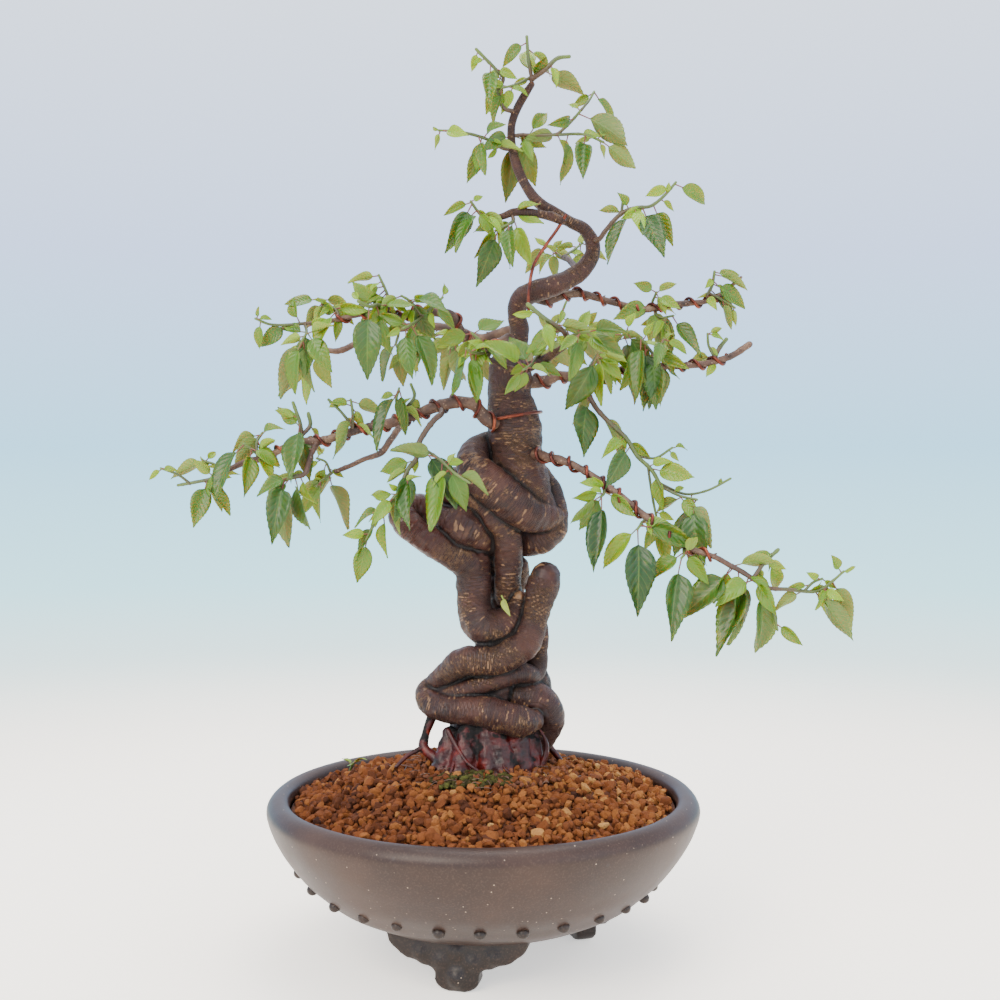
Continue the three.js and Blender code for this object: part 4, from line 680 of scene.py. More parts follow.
class Form:
    """Closed forms gathered into one mesh: a look for each face, a tone and a uv for each point."""

    def __init__(self):
        self.points, self.tones, self.uvs = [], [], []
        self.faces, self.looks = [], []
        self.count = 0

    def add(self, points, faces, look=0, tone=0.0, uv=None):
        points = np.asarray(points, float)
        number = len(points)
        self.points.append(points)
        self.tones.append(np.broadcast_to(np.asarray(tone, float), (number,)))
        self.uvs.append(np.zeros((number, 2)) if uv is None else np.asarray(uv, float))
        self.faces += [[self.count + i for i in face] for face in faces]
        self.looks += [look] * len(faces) if np.isscalar(look) else list(look)
        self.count += number

    def sweep(self, path, radii, sides, look=0, tone=0.0, grain=None):
        """A tube along a path with rounded ends; grain changes its radius, by point."""
        path, radii = np.asarray(path, float), np.asarray(radii, float)
        tangents = unit(np.gradient(path, axis=0))
        normals, across = carried_frames(tangents)
        turns = np.arange(sides) / sides * 2 * math.pi
        cosines, sines = np.cos(turns)[None, :, None], np.sin(turns)[None, :, None]
        ring = normals[:, None] * cosines + across[:, None] * sines
        centres, sizes, rings = [path], [radii], [ring]
        for lift in (0.5, 0.87):
            shrink = math.sqrt(1 - lift * lift)
            centres.insert(0, path[:1] - tangents[:1] * radii[0] * lift)
            centres.append(path[-1:] + tangents[-1:] * radii[-1] * lift)
            sizes.insert(0, radii[:1] * shrink)
            sizes.append(radii[-1:] * shrink)
            rings.insert(0, ring[:1])
            rings.append(ring[-1:])
        centres, sizes, rings = np.vstack(centres), np.concatenate(sizes), np.vstack(rings)
        points = centres[:, None] + rings * sizes[:, None, None]
        if grain is not None:
            flat = points.reshape(-1, 3)
            points = (flat + rings.reshape(-1, 3) * grain(flat)[:, None]).reshape(points.shape)
        count = len(centres)
        ends = [path[0] - tangents[0] * radii[0], path[-1] + tangents[-1] * radii[-1]]
        faces = []
        for r in range(count - 1):
            for s in range(sides):
                a, b = r * sides + s, r * sides + (s + 1) % sides
                faces.append([a, b, b + sides, a + sides])
        low, high = count * sides, count * sides + 1
        for s in range(sides):
            faces.append([(s + 1) % sides, s, low])
            faces.append([(count - 1) * sides + s, (count - 1) * sides + (s + 1) % sides, high])
        tones = np.asarray(tone, float)
        if tones.ndim:
            tones = np.concatenate([[tones[0]] * 2, tones, [tones[-1]] * 2])
            tones = np.concatenate([np.repeat(tones, sides), [tones[0], tones[-1]]])
        self.add(np.vstack([points.reshape(-1, 3), ends]), faces, look, tones)

    def ball(self, centre, half, rows=8, sides=12):
        """A ball with its own half size in each direction."""
        up = np.arange(1, rows) / rows * math.pi
        turns = np.arange(sides) / sides * 2 * math.pi
        points = [
            [math.sin(a) * math.cos(t), math.sin(a) * math.sin(t), math.cos(a)]
            for a in up
            for t in turns
        ]
        points = np.array([*points, [0, 0, 1], [0, 0, -1]]) * half + centre
        faces = []
        for r in range(rows - 2):
            for s in range(sides):
                a, b = r * sides + s, r * sides + (s + 1) % sides
                faces.append([a, a + sides, b + sides, b])
        top, base = len(points) - 2, (rows - 2) * sides
        for s in range(sides):
            faces.append([top, s, (s + 1) % sides])
            faces.append([base + s, top + 1, base + (s + 1) % sides])
        self.add(points, faces)

    def lathe(self, outline, segments):
        """A closed outline of [radius, height] turned about the pot's axis, away from the axis."""
        outline = np.asarray(outline, float)
        turns = np.arange(segments) / segments * 2 * math.pi
        points = [[r * math.cos(t), r * math.sin(t), z] for t in turns for r, z in outline]
        size = len(outline)
        faces = []
        for t in range(segments):
            here, there = t * size, (t + 1) % segments * size
            for i in range(size):
                j = (i + 1) % size
                faces.append([here + i, there + i, there + j, here + j])
        self.add(points, faces)

    def mesh(self, name, lift=0.0, smooth=True):
        """The gathered forms as a Blender mesh in metres, raised by lift millimetres."""
        mesh = bpy.data.meshes.new(name)
        points = (np.vstack(self.points) + [0, 0, lift]) * MM + AXIS
        mesh.from_pydata(points.tolist(), [], self.faces)
        mesh.polygons.foreach_set("material_index", np.array(self.looks, np.int32))
        mesh.polygons.foreach_set("use_smooth", np.full(len(self.faces), smooth))
        tones = mesh.attributes.new("tone", "FLOAT", "POINT")
        tones.data.foreach_set("value", np.concatenate(self.tones).astype(np.float32))
        corners = np.zeros(len(mesh.loops), np.int32)
        mesh.loops.foreach_get("vertex_index", corners)
        uv = mesh.uv_layers.new(name="UVMap")
        uv.data.foreach_set("uv", np.vstack(self.uvs)[corners].astype(np.float32).ravel())
        mesh.update()
        return mesh


def in_scene(name, data):
    """A new object in the scene that holds a mesh, light or camera."""
    holder = bpy.data.objects.new(name, data)
    bpy.context.scene.collection.objects.link(holder)
    return holder


def show(name, mesh, looks, nodes):
    """Adds a piece that stands for some CAD nodes."""
    piece = in_scene(name, mesh)
    for look in looks:
        mesh.materials.append(look)
    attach(piece, "root")
    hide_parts(*nodes)


def remeshed(mesh, voxel, smoothing):
    """One even skin round all the forms of a mesh."""
    holder = in_scene("holder", mesh)
    skin = holder.modifiers.new("skin", "REMESH")
    skin.mode = "VOXEL"
    skin.voxel_size = voxel * MM
    soften = holder.modifiers.new("soften", "SMOOTH")
    soften.iterations = smoothing
    soften.factor = 0.5
    seen = holder.evaluated_get(bpy.context.evaluated_depsgraph_get())
    done = bpy.data.meshes.new_from_object(seen)
    bpy.data.objects.remove(holder)
    done.polygons.foreach_set("use_smooth", np.ones(len(done.polygons), bool))
    return done


def corner_array(mesh):
    """The places of a mesh's corners."""
    places = np.zeros(len(mesh.vertices) * 3)
    mesh.vertices.foreach_get("co", places)
    return places.reshape(-1, 3)


def normal_array(mesh):
    """The directions that a mesh's corners face."""
    normals = np.zeros(len(mesh.vertices) * 3)
    mesh.vertices.foreach_get("normal", normals)
    return normals.reshape(-1, 3)


def set_attribute(mesh, name, values):
    """Stores a number at each corner, for the material to read."""
    layer = mesh.attributes.new(name, "FLOAT", "POINT")
    layer.data.foreach_set("value", np.asarray(values, np.float32))


# ---------------------------------------------------------------- materials


def rgb(code):
    """A colour from its six hexadecimal digits, in linear light."""
    parts = [int(code[i : i + 2], 16) / 255 for i in (0, 2, 4)]
    return [p / 12.92 if p <= 0.04045 else ((p + 0.055) / 1.055) ** 2.4 for p in parts] + [1]


def set_stops(node, stops):
    """Sets a colour ramp's (place, colour) stops."""
    elements = node.color_ramp.elements
    while len(elements) < len(stops):
        elements.new(0.5)
    for element, (place, code) in zip(elements, stops):
        element.position = place
        element.color = rgb(code)


class Look:
    """A material being built out of shader nodes."""

    def __init__(self, name, **fixed):
        self.material = bpy.data.materials.new(name)
        self.material.use_nodes = True
        self.tree = self.material.node_tree
        self.shader = self.tree.nodes["Principled BSDF"]
        for socket, value in fixed.items():
            self.shader.inputs[socket.replace("_", " ")].default_value = value
        self.place = self.tree.nodes.new("ShaderNodeTexCoord").outputs["Object"]

    def feed(self, node, sockets):
        for key, value in sockets.items():
            socket = node.inputs[key]
            if isinstance(value, bpy.types.NodeSocket):
                self.tree.links.new(value, socket)
            else:
                socket.default_value = value

    def noise(self, size, detail=3.0, roughness=0.55, along=None):
        """Noise with lumps of the given size in millimetres; along adds a fourth direction."""
        node = self.tree.nodes.new("ShaderNodeTexNoise")
        sockets = {"Scale": 1000 / size, "Detail": detail, "Roughness": roughness}
        if along is not None:
            node.noise_dimensions = "4D"
            sockets["W"] = along
        self.feed(node, {"Vector": self.place, **sockets})
        return node.outputs["Fac"]

    def cells(self, size):
        """The distance to the nearest of many scattered points."""
        node = self.tree.nodes.new("ShaderNodeTexVoronoi")
        self.feed(node, {"Vector": self.place, "Scale": 1000 / size})
        return node.outputs["Distance"]

    def attribute(self, name):
        node = self.tree.nodes.new("ShaderNodeAttribute")
        node.attribute_name = name
        return node.outputs["Fac"]

    def math(self, kind, a, b=0.0, c=0.0):
        node = self.tree.nodes.new("ShaderNodeMath")
        node.operation = kind
        self.feed(node, {0: a, 1: b, 2: c})
        return node.outputs[0]

    def step(self, value, low, high):
        """0 below low, 1 above high, and smooth between them."""
        node = self.tree.nodes.new("ShaderNodeMapRange")
        node.interpolation_type = "SMOOTHSTEP"
        self.feed(node, {"Value": value, "From Min": low, "From Max": high})
        return node.outputs[0]

    def ramp(self, value, *stops):
        node = self.tree.nodes.new("ShaderNodeValToRGB")
        set_stops(node, stops)
        self.feed(node, {"Fac": value})
        return node.outputs["Color"]

    def mix(self, share, first, second):
        """From the first colour to the second one, which is given by its digits or a socket."""
        node = self.tree.nodes.new("ShaderNodeMix")
        node.data_type = "RGBA"
        second = rgb(second) if isinstance(second, str) else second
        self.feed(node, {0: share, 6: first, 7: second})
        return node.outputs[2]

    def part(self, share, whole):
        """A fixed share of a value."""
        return self.math("MULTIPLY", whole, share)

    def bump(self, height, depth, strength=1.0, under=None):
        """Bump of the given depth in millimetres."""
        node = self.tree.nodes.new("ShaderNodeBump")
        sockets = {"Height": height, "Distance": depth * MM, "Strength": strength}
        if under is not None:
            sockets["Normal"] = under
        self.feed(node, sockets)
        return node.outputs["Normal"]

    def done(self, colour, roughness=None, normal=None):
        self.feed(self.shader, {"Base Color": colour})
        if roughness is not None:
            self.feed(self.shader, {"Roughness": roughness})
        if normal is not None:
            self.feed(self.shader, {"Normal": normal})
        return self.material


def clay_look(name, dark_clay, clay, light_clay):
    """Unglazed dark brown stoneware: fine pale specks, soft smoky clouds and a dry, pitted skin."""
    look = Look(name, Specular_IOR_Level=0.32)
    clouds = look.noise(55, 4)
    colour = look.ramp(clouds, (0.3, dark_clay), (0.5, clay), (0.72, light_clay))
    fine = look.noise(1.1, 2)
    colour = look.mix(look.part(0.35, look.step(fine, 0.45, 0.8)), colour, "4f3b30")
    specks = look.cells(4.2)
    rare = look.step(look.noise(6, 1), 0.5, 0.6)
    speck = look.math("MULTIPLY", look.step(specks, 0.13, 0.05), rare)
    colour = look.mix(speck, colour, "9a8572")
    dark = look.cells(17)
    colour = look.mix(look.part(0.6, look.step(dark, 0.09, 0.04)), colour, "2f2523")
    roughness = look.math("MULTIPLY_ADD", clouds, 0.3, 0.3)
    normal = look.bump(fine, 0.05, 0.6)
    normal = look.bump(look.noise(9, 3), 0.2, 0.4, normal)
    return look.done(colour, roughness, normal)


def bark_look():
    """Old plum bark: dark and purplish, with tan breathing marks across each strand and flakes."""
    look = Look("old_bark", Specular_IOR_Level=0.3)
    along = look.attribute("along")
    rows = look.part(0.34, along)
    clouds = look.noise(16, 4)
    colour = look.ramp(clouds, (0.3, "1c0b0a"), (0.5, "2c1411"), (0.7, "42241c"))
    wrinkle = look.noise(9, 3, 0.6, along=look.part(0.9, along))
    colour = look.mix(look.step(wrinkle, 0.5, 0.7), colour, "4a2d1c")
    colour = look.mix(look.step(wrinkle, 0.45, 0.3), colour, "110807")
    marks = look.noise(7, 1, 0.4, along=look.part(0.55, along))
    marks = look.step(marks, 0.62, 0.67)
    colour = look.mix(look.part(0.8, marks), colour, "7d5c40")
    flakes = look.noise(3.0, 5, 0.62, along=rows)
    patches = look.step(look.noise(18, 3), 0.5, 0.58)
    flaky = look.math("MULTIPLY", look.step(flakes, 0.49, 0.56), patches)
    colour = look.mix(look.part(0.7, flaky), colour, "705236")
    ruddy = look.attribute("ruddy")
    glow = look.ramp(wrinkle, (0.3, "260d09"), (0.7, "431a0c"))
    colour = look.mix(look.part(0.85, ruddy), colour, glow)
    crease_and_shade = look.attribute("crease_and_shade")
    # Painted shade: the hollows between the strands are darkened nearly to black.
    colour = look.mix(look.part(0.9, crease_and_shade), colour, "0a0504")
    roughness = look.math("MULTIPLY_ADD", ruddy, -0.2, 0.5)
    normal = look.bump(wrinkle, 0.5, 0.8)
    normal = look.bump(flaky, 0.35, 0.8, normal)
    normal = look.bump(marks, 0.2, 0.8, normal)
    return look.done(colour, roughness, normal)


def root_look():
    """Bare roots: dark glossy red with charred black patches and orange spots."""
    look = Look("bare_root", Specular_IOR_Level=0.32)
    clouds = look.noise(9, 4)
    colour = look.ramp(
        clouds, (0.3, "1b0402"), (0.48, "300603"), (0.62, "4a0b06"), (0.78, "78260c")
    )
    height = look.tree.nodes.new("ShaderNodeSeparateXYZ")
    look.feed(height, {0: look.place})
    upper = look.step(height.outputs[2], (CROWN + 4) * MM, (CROWN + 22) * MM)
    burnt = look.step(look.math("ADD", look.noise(12, 3), look.part(0.16, upper)), 0.6, 0.68)
    colour = look.mix(burnt, colour, "0e0908")
    roughness = look.math("MULTIPLY_ADD", burnt, 0.4, 0.42)
    return look.done(colour, roughness, look.bump(look.noise(2.2, 4), 0.6, 0.8))


def branch_look():
    """Younger bark: red-brown to grey-brown with pale dots, darker where it is older."""
    look = Look("branch_bark", Specular_IOR_Level=0.4)
    clouds = look.noise(11, 4)
    colour = look.ramp(clouds, (0.3, "2c1c16"), (0.5, "4d3428"), (0.72, "745944"))
    dots = look.cells(2.6)
    colour = look.mix(look.part(0.6, look.step(dots, 0.2, 0.1)), colour, "9f7f67")
    fine = look.noise(1.4, 3)
    colour = look.mix(look.step(fine, 0.55, 0.75), colour, "34211c")
    return look.done(colour, 0.62, look.bump(fine, 0.25, 0.8))


def twig_look():
    """A shoot: brown at its foot, then green flushed with red."""
    look = Look("green_twig", Roughness=0.5)
    fine = look.noise(5, 3)
    shift = look.part(0.5, look.math("SUBTRACT", fine, 0.5))
    reach = look.math("ADD", look.attribute("tone"), shift)
    colour = look.ramp(reach, (0.0, "3d261b"), (0.4, "46311c"), (0.62, "3d461c"), (1.0, "506222"))
    return look.done(colour, normal=look.bump(look.noise(1.5, 3), 0.15, 0.7))


def stalk_look():
    look = Look("leaf_stalk", Roughness=0.5)
    colour = look.ramp(look.noise(8, 2), (0.35, "5e241b"), (0.55, "693823"), (0.7, "586824"))
    return look.done(colour)


def leaf_look(name, young, middle, mature, vein, roughness):
    """A leaf's skin: its colour follows its age, with a pale midrib and side veins."""
    look = Look(name, Specular_IOR_Level=0.35, Subsurface_Weight=0.12, Subsurface_Scale=0.002)
    age = look.attribute("tone")
    colour = look.ramp(age, (0.0, young), (0.5, middle), (1.0, mature))
    patches = look.noise(9, 3)
    colour = look.mix(look.part(0.22, look.step(patches, 0.5, 0.8)), colour, young)
    uv = look.tree.nodes.new("ShaderNodeUVMap")
    uv.uv_map = "UVMap"
    split = look.tree.nodes.new("ShaderNodeSeparateXYZ")
    look.feed(split, {0: uv.outputs[0]})
    across = look.math("ABSOLUTE", look.math("SUBTRACT", split.outputs[0], 0.5))
    lengthwise = split.outputs[1]
    midrib = look.step(across, 0.035, 0.012)
    slanted = look.math("SUBTRACT", lengthwise, look.part(0.55, across))
    waves = look.math("SINE", look.part(48.0, slanted))
    side_veins = look.step(waves, 0.86, 0.99)
    veins = look.math("MAXIMUM", midrib, look.part(0.45, side_veins))
    colour = look.mix(look.part(0.4, veins), colour, vein)
    edge = look.step(look.noise(3.5, 2), 0.62, 0.7)
    scorched = look.math("MULTIPLY", look.step(lengthwise, 0.9, 0.99), edge)
    colour = look.mix(scorched, colour, "6a3a20")
    normal = look.bump(look.math("MULTIPLY", waves, -0.5), 0.25, 0.5)
    normal = look.bump(look.noise(1.2, 2), 0.06, 0.5, normal)
    return look.done(colour, roughness, normal)


def granule_look():
    """Fired red clay granules, each with its own tone."""
    look = Look("soil_granules", Roughness=0.92, Specular_IOR_Level=0.2)
    tone = look.attribute("tone")
    grit = look.noise(1.3, 5, 0.75)
    shifted = look.math("ADD", tone, look.part(0.35, look.math("SUBTRACT", grit, 0.5)))
    colour = look.ramp(
        shifted, (0.0, "281209"), (0.22, "4a2510"), (0.5, "673718"),
        (0.75, "824f24"), (1.0, "a67c48"),
    )
    return look.done(colour, normal=look.bump(grit, 0.8, 1.0))


def copper_look():
    """Brown anodised wire with a few brighter rubs."""
    look = Look("copper_wire", Metallic=0.65)
    worn = look.noise(7, 3)
    colour = look.ramp(worn, (0.35, "3a1710"), (0.55, "642a1b"), (0.75, "8f4a30"))
    roughness = look.math("MULTIPLY_ADD", worn, 0.3, 0.25)
    return look.done(colour, roughness, look.bump(look.noise(1.0, 2), 0.05, 0.5))


def moss_look():
    look = Look("moss", Roughness=0.95, Specular_IOR_Level=0.15)
    colour = look.ramp(look.noise(5, 4), (0.3, "1f1a0c"), (0.5, "353116"), (0.7, "575a26"))
    return look.done(colour, normal=look.bump(look.noise(1.2, 4), 0.8, 1))


def dry_leaf_look():
    look = Look("dry_leaf", Roughness=0.65)
    colour = look.ramp(look.noise(5, 4), (0.3, "6f6a22"), (0.5, "7c8a30"), (0.7, "93943c"))
    return look.done(colour, normal=look.bump(look.noise(1.5, 3), 0.2, 0.7))


def screen_look():
    look = Look("screen_plastic", Roughness=0.6)
    return look.done(look.ramp(look.noise(4, 2), (0.3, "1f2221"), (0.7, "2f3332")))


def soil_base_look():
    look = Look("soil_base", Roughness=0.95)
    return look.done(look.ramp(look.noise(5, 4), (0.3, "3f2010"), (0.7, "6f3d1e")))


CLAY = clay_look("unglazed_clay", "20100b", "29170f", "362218")
# A darker copy of the same clay for the studs and feet low on the pot: painted shade.
SHADED_CLAY = clay_look("unglazed_clay_shaded", "130b08", "1c110c", "281a13")
BARK = bark_look()
ROOT = root_look()
BRANCH = branch_look()
TWIG = twig_look()
STALK = stalk_look()
LEAF_TOP = leaf_look("leaf_top", "6c8c14", "35590f", "15360c", "57762d", 0.38)
LEAF_UNDER = leaf_look("leaf_underside", "728c28", "546b2a", "3d5426", "6b804a", 0.6)
GRANULES = granule_look()
COPPER = copper_look()
MOSS = moss_look()
DRY_LEAF = dry_leaf_look()
SCREEN = screen_look()
SOIL_BASE = soil_base_look()


# ---------------------------------------------------------------- pot

WALL_FLARE = 60  # how much farther out the wall is at the rim than underneath
RIM_DEPTH = 9
INNER_RADIUS = POT_RADIUS - LIP_WIDTH
UNDER_RADIUS = POT_RADIUS - WALL_FLARE
FLOOR_TOP = FOOT_HEIGHT + POT_WALL


def wall_curve():
    """The bowl's outer wall from its underside to its rim: flat below, then rounding upwards."""
    rise = POT_HEIGHT - RIM_DEPTH - FOOT_HEIGHT
    shape = [
        [0, 0], [0.1, 0.02], [0.25, 0.09], [0.4, 0.17], [0.53, 0.28],
        [0.67, 0.41], [0.78, 0.55], [0.88, 0.7], [0.95, 0.84], [1, 1],
    ]
    return [[UNDER_RADIUS + WALL_FLARE * out, FOOT_HEIGHT + rise * up] for out, up in shape]


def pot_body():
    """The bowl with its rounded rim and the drain hole."""
    rim = [
        [POT_RADIUS - 0.3, POT_HEIGHT - 6], [POT_RADIUS - 1.7, POT_HEIGHT - 3.4],
        [POT_RADIUS - 4, POT_HEIGHT - 1.2], [POT_RADIUS - 7, POT_HEIGHT - 0.1],
        [POT_RADIUS - 10, POT_HEIGHT - 0.4], [POT_RADIUS - 12.4, POT_HEIGHT - 2],
        [INNER_RADIUS, POT_HEIGHT - LIP_DROP],
    ]
    inside = [
        [INNER_RADIUS + 2, POT_HEIGHT - LIP_DROP - 5],
        [INNER_RADIUS + 3, POT_HEIGHT - LIP_DROP - 10],
        [INNER_RADIUS - 3.2, FLOOR_TOP + 30], [INNER_RADIUS - 17.5, FLOOR_TOP + 12],
        [UNDER_RADIUS + 9.2, FLOOR_TOP],
    ]
    under = [[DRAIN_RADIUS + 1, FOOT_HEIGHT], [UNDER_RADIUS - 30, FOOT_HEIGHT]]
    hole = [
        [DRAIN_RADIUS + 1, FLOOR_TOP], [DRAIN_RADIUS, FLOOR_TOP - 1],
        [DRAIN_RADIUS, FOOT_HEIGHT + 1],
    ]
    outline, _ = rounded_path([*wall_curve(), *rim], 5)
    form = Form()
    form.lathe([*hole, *under, *outline.tolist(), *inside], 160)
    points = form.points[0]
    wobble = lumps(points, 45, 3.1) * 0.5 + lumps(points, 12, 8.3) * 0.14
    outward = unit(points * [1, 1, 0])
    form.points[0] = points + outward * wobble[:, None]
    show("pot_bowl", form.mesh("pot_bowl"), [CLAY], ["pot"])


def studs():
    """Small domes round the lower wall, pressed on by hand and so not quite alike."""
    low, middle, high = (np.array(wall_curve()[k]) for k in (4, 5, 6))
    form = Form()
    for i in range(STUD_COUNT):
        turn = i / STUD_COUNT * 2 * math.pi + (scatter(i) - 0.5) * 0.02
        size = STUD_RADIUS * (0.92 + 0.16 * scatter(i + 50))
        rise = 0.1 + 1.2 * max(0, -math.cos(turn)) ** 6  # the row climbs on one side
        radius, height = low + (middle - low) * min(rise, 1) + (high - middle) * max(rise - 1, 0)
        height += (scatter(i + 90) - 0.5) * 1.2
        place = [math.cos(turn) * radius, math.sin(turn) * radius, height]
        form.ball(place, [size, size, size * 0.92], rows=12, sides=18)
    # The studs take the darker copy of the clay, which is painted shade.
    show("pot_studs", form.mesh("pot_studs"), [SHADED_CLAY], ["pot"])


FOOT_TOP = FOOT_HEIGHT + 12  # the feet reach into the bowl's wall


def foot_outline():
    """Half of a cloud foot's outline, from the middle of its underside round to its top."""
    return [
        [0, 0], [6, 0.1], [10.5, 2], [12.8, 5.5], [12.6, 9.5], [14.5, 12.6], [19.5, 13.4],
        [24, 16], [29.5, 17], [34, 20.5], [37.5, 23], [40.5, 28], [40.5, 34], [38, FOOT_TOP],
    ]


def feet():
    """Three cloud feet: a middle lobe on the floor, scrolled wings, and raised bosses in front."""
    half, _ = rounded_path(foot_outline(), 4)
    loop = [*half.tolist(), *([-x, z] for x, z in half[::-1].tolist()[:-1])]
    size = len(loop)
    raw = Form()
    for i in range(FOOT_COUNT):
        turn = math.radians(-FOOT_TURN) + i / FOOT_COUNT * 2 * math.pi
        frame_x = np.array([math.cos(turn), math.sin(turn), 0])
        frame_y = np.array([-math.sin(turn), math.cos(turn), 0])

        def placed(x, y, z):
            return frame_x * x + frame_y * (y - FOOT_REACH) + [0, 0, z]

        front = [placed(x, -FOOT_THICKNESS / 2, z) for x, z in loop]
        back = [placed(x, FOOT_THICKNESS / 2, z) for x, z in loop]
        faces = [list(range(size)), list(range(2 * size - 1, size - 1, -1))]
        faces += [[(k + 1) % size, k, k + size, (k + 1) % size + size] for k in range(size)]
        raw.add([*front, *back], faces)
        bosses = [(0, 8, 7), (-9, 17, 6), (9, 17, 6), (-21, 21, 6), (21, 21, 6), (0, 23, 6)]
        for x, z, boss in bosses:
            raw.ball(placed(x, -FOOT_THICKNESS / 2 + 3.2, z), [boss] * 3)
    mesh = remeshed(raw.mesh("pot_feet"), 1.3, 12)
    places = corner_array(mesh)
    places[:, 2] = np.clip(places[:, 2], 0, FOOT_TOP * MM)
    mesh.vertices.foreach_set("co", places.ravel())
    # The feet take the darker copy of the clay, which is painted shade.
    show("pot_feet", mesh, [SHADED_CLAY], ["pot"])


def drain_screen():
    """A plastic net of round bars over the drain hole."""
    low, high = (np.array(corner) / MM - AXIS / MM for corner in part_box("drain_screen"))
    radius = (high[2] - low[2]) / 4
    form = Form()
    bar_count = 8
    for axis in (0, 1):
        for i in range(bar_count):
            shift = low[1 - axis] + 1 + (high[1 - axis] - low[1 - axis] - 2) * i / (bar_count - 1)
            height = low[2] + radius * (1 + 2 * axis)
            ends = []
            for end in (low[axis] + 1, high[axis] - 1):
                place = [shift, shift, height]
                place[axis] = end
                ends.append(place)
            path = np.linspace(ends[0], ends[1], 5)
            form.sweep(path, [radius] * 5, 8)
    show("drain_net", form.mesh("drain_net"), [SCREEN], ["drain_screen"])


# ---------------------------------------------------------------- soil

SOIL_EDGE = INNER_RADIUS - 0.3
SOIL_FALL = CROWN - (POT_HEIGHT - 6)


def soil_height(radius):
    """The height of the mounded soil at a distance from the pot's axis."""
    return CROWN - SOIL_FALL * min(1, radius / SOIL_EDGE) ** 1.5


def soil_base():
    """The packed soil under the loose granules."""
    steps = 24
    sink = 3.0
    radii = [SOIL_EDGE * (1 - i / steps) for i in range(steps)]
    top = [[radius + 0.01, soil_height(radius) - sink] for radius in radii]
    top.append([0.5, CROWN - sink])
    under = [
        [0.5, FLOOR_TOP + 2], [UNDER_RADIUS + 8, FLOOR_TOP + 2],
        [INNER_RADIUS - 18.5, FLOOR_TOP + 13], [INNER_RADIUS - 4, FLOOR_TOP + 31],
    ]
    form = Form()
    form.lathe([*under, *top], 72)
    show("soil_base", form.mesh("soil_base"), [SOIL_BASE], ["soil_bed"])


def ico_points():
    """The corners and faces of a ball of 80 triangles."""
    ball = bmesh.new()
    bmesh.ops.create_icosphere(ball, subdivisions=2, radius=1)
    points = np.array([v.co for v in ball.verts])
    faces = [[v.index for v in f.verts] for f in ball.faces]
    ball.free()
    return points, faces


def granules():
    """Loose granules in rows that are jittered until no row can be seen, with a few on top."""
    ball, faces = ico_points()
    rng = np.random.default_rng(4)
    pitch = 4.15
    places = []
    rows = int(SOIL_EDGE / pitch / 0.866) + 1
    for row in range(-rows, rows + 1):
        for column in range(-rows - 3, rows + 4):
            x = (column + (row % 2) / 2) * pitch + rng.normal(0, 0.9)
            y = row * pitch * 0.866 + rng.normal(0, 0.9)
            if math.hypot(x, y) < SOIL_EDGE - 2.2:
                places.append([x, y, rng.normal(-1.3, 0.8)])
    for _ in range(520):
        radius, turn = SOIL_EDGE * 0.97 * math.sqrt(rng.random()), rng.random() * 2 * math.pi
        places.append([radius * math.cos(turn), radius * math.sin(turn), 1.0 + rng.random()])
    form = Form()
    for x, y, lift in places:
        size = float(np.clip(rng.lognormal(0.82, 0.26), 1.2, 3.9))
        shape = ball * (1 + rng.normal(0, 0.1, (len(ball), 1)))
        turn, _ = np.linalg.qr(rng.normal(size=(3, 3)))
        if np.linalg.det(turn) < 0:
            turn[:, 0] *= -1
        stretch = np.array([1.18, 0.98, 0.84]) * (0.9 + 0.2 * rng.random(3))
        # Flat sides come from pressing the far ends of a few directions inwards.
        for _ in range(5):
            way = unit(rng.normal(size=3))
            reach = shape @ way
            shape = shape - np.outer(np.maximum(reach - (0.5 + 0.25 * rng.random()), 0), way)
        height = min(soil_height(math.hypot(x, y)) + lift, CROWN + 2)
        points = (shape * stretch) @ turn.T * size + [x, y, height]
        tone = float(np.clip(rng.normal(0.48 + 0.0012 * x, 0.17), 0.02, 0.98))
        form.add(points, faces, tone=tone)
    mesh = form.mesh("soil_granules", smooth=False)
    show("soil_granules", mesh, [GRANULES], ["soil_bed"])


def debris():
    """Dark crumbs, short dead roots and needles between the granules round the trunk."""
    ball, faces = ico_points()
    rng = np.random.default_rng(9)
    form = Form()
    for _ in range(240):
        turn, reach = rng.random() * 2 * math.pi, 22 + 22 * rng.random() ** 0.8
        x, y = 4 + reach * math.cos(turn) * 1.1, reach * math.sin(turn) - 6
        size = 0.7 + 1.2 * rng.random()
        shape = ball * (1 + rng.normal(0, 0.14, (len(ball), 1)))
        shape = shape * (0.6 + 0.6 * rng.random(3)) * size
        height = soil_height(math.hypot(x, y)) + 1.2
        form.add(shape + [x, y, height], faces, tone=rng.random() * 0.3)
    for _ in range(70):
        turn, reach = rng.random() * 2 * math.pi, 24 + 40 * rng.random()
        x, y = reach * math.cos(turn), reach * math.sin(turn) - 4
        way = unit([rng.normal(), rng.normal(), 0]) * (2 + 4 * rng.random())
        middle = np.array([x, y, soil_height(math.hypot(x, y)) + 2.2])
        path, _ = rounded_path([middle - way, middle + [0, 0, 1.2 * rng.random()], middle + way], 4)
        form.sweep(path, np.full(len(path), 0.28), 5, look=1)
    mesh = form.mesh("soil_debris")
    show("soil_debris", mesh, [SOIL_BASE, BRANCH], ["soil_bed"])


# ---------------------------------------------------------------- trunk


def hollowness(mesh, places, rounds):
    """How far each corner lies below its neighbours' middle, smoothed over some rounds."""
    ends = np.empty(len(mesh.edges) * 2, np.int32)
    mesh.edges.foreach_get("vertices", ends)
    a, b = ends.reshape(-1, 2).T
    near, far = np.concatenate([a, b]), np.concatenate([b, a])
    count = np.bincount(near, minlength=len(places))

    def averaged(values):
        return np.bincount(near, values[far], len(places)) / count

    middle = np.column_stack([averaged(places[:, k]) for k in range(3)])
    hollow = ((middle - places) * normal_array(mesh)).sum(axis=1)
    for _ in range(rounds):
        hollow = averaged(hollow)
    return hollow


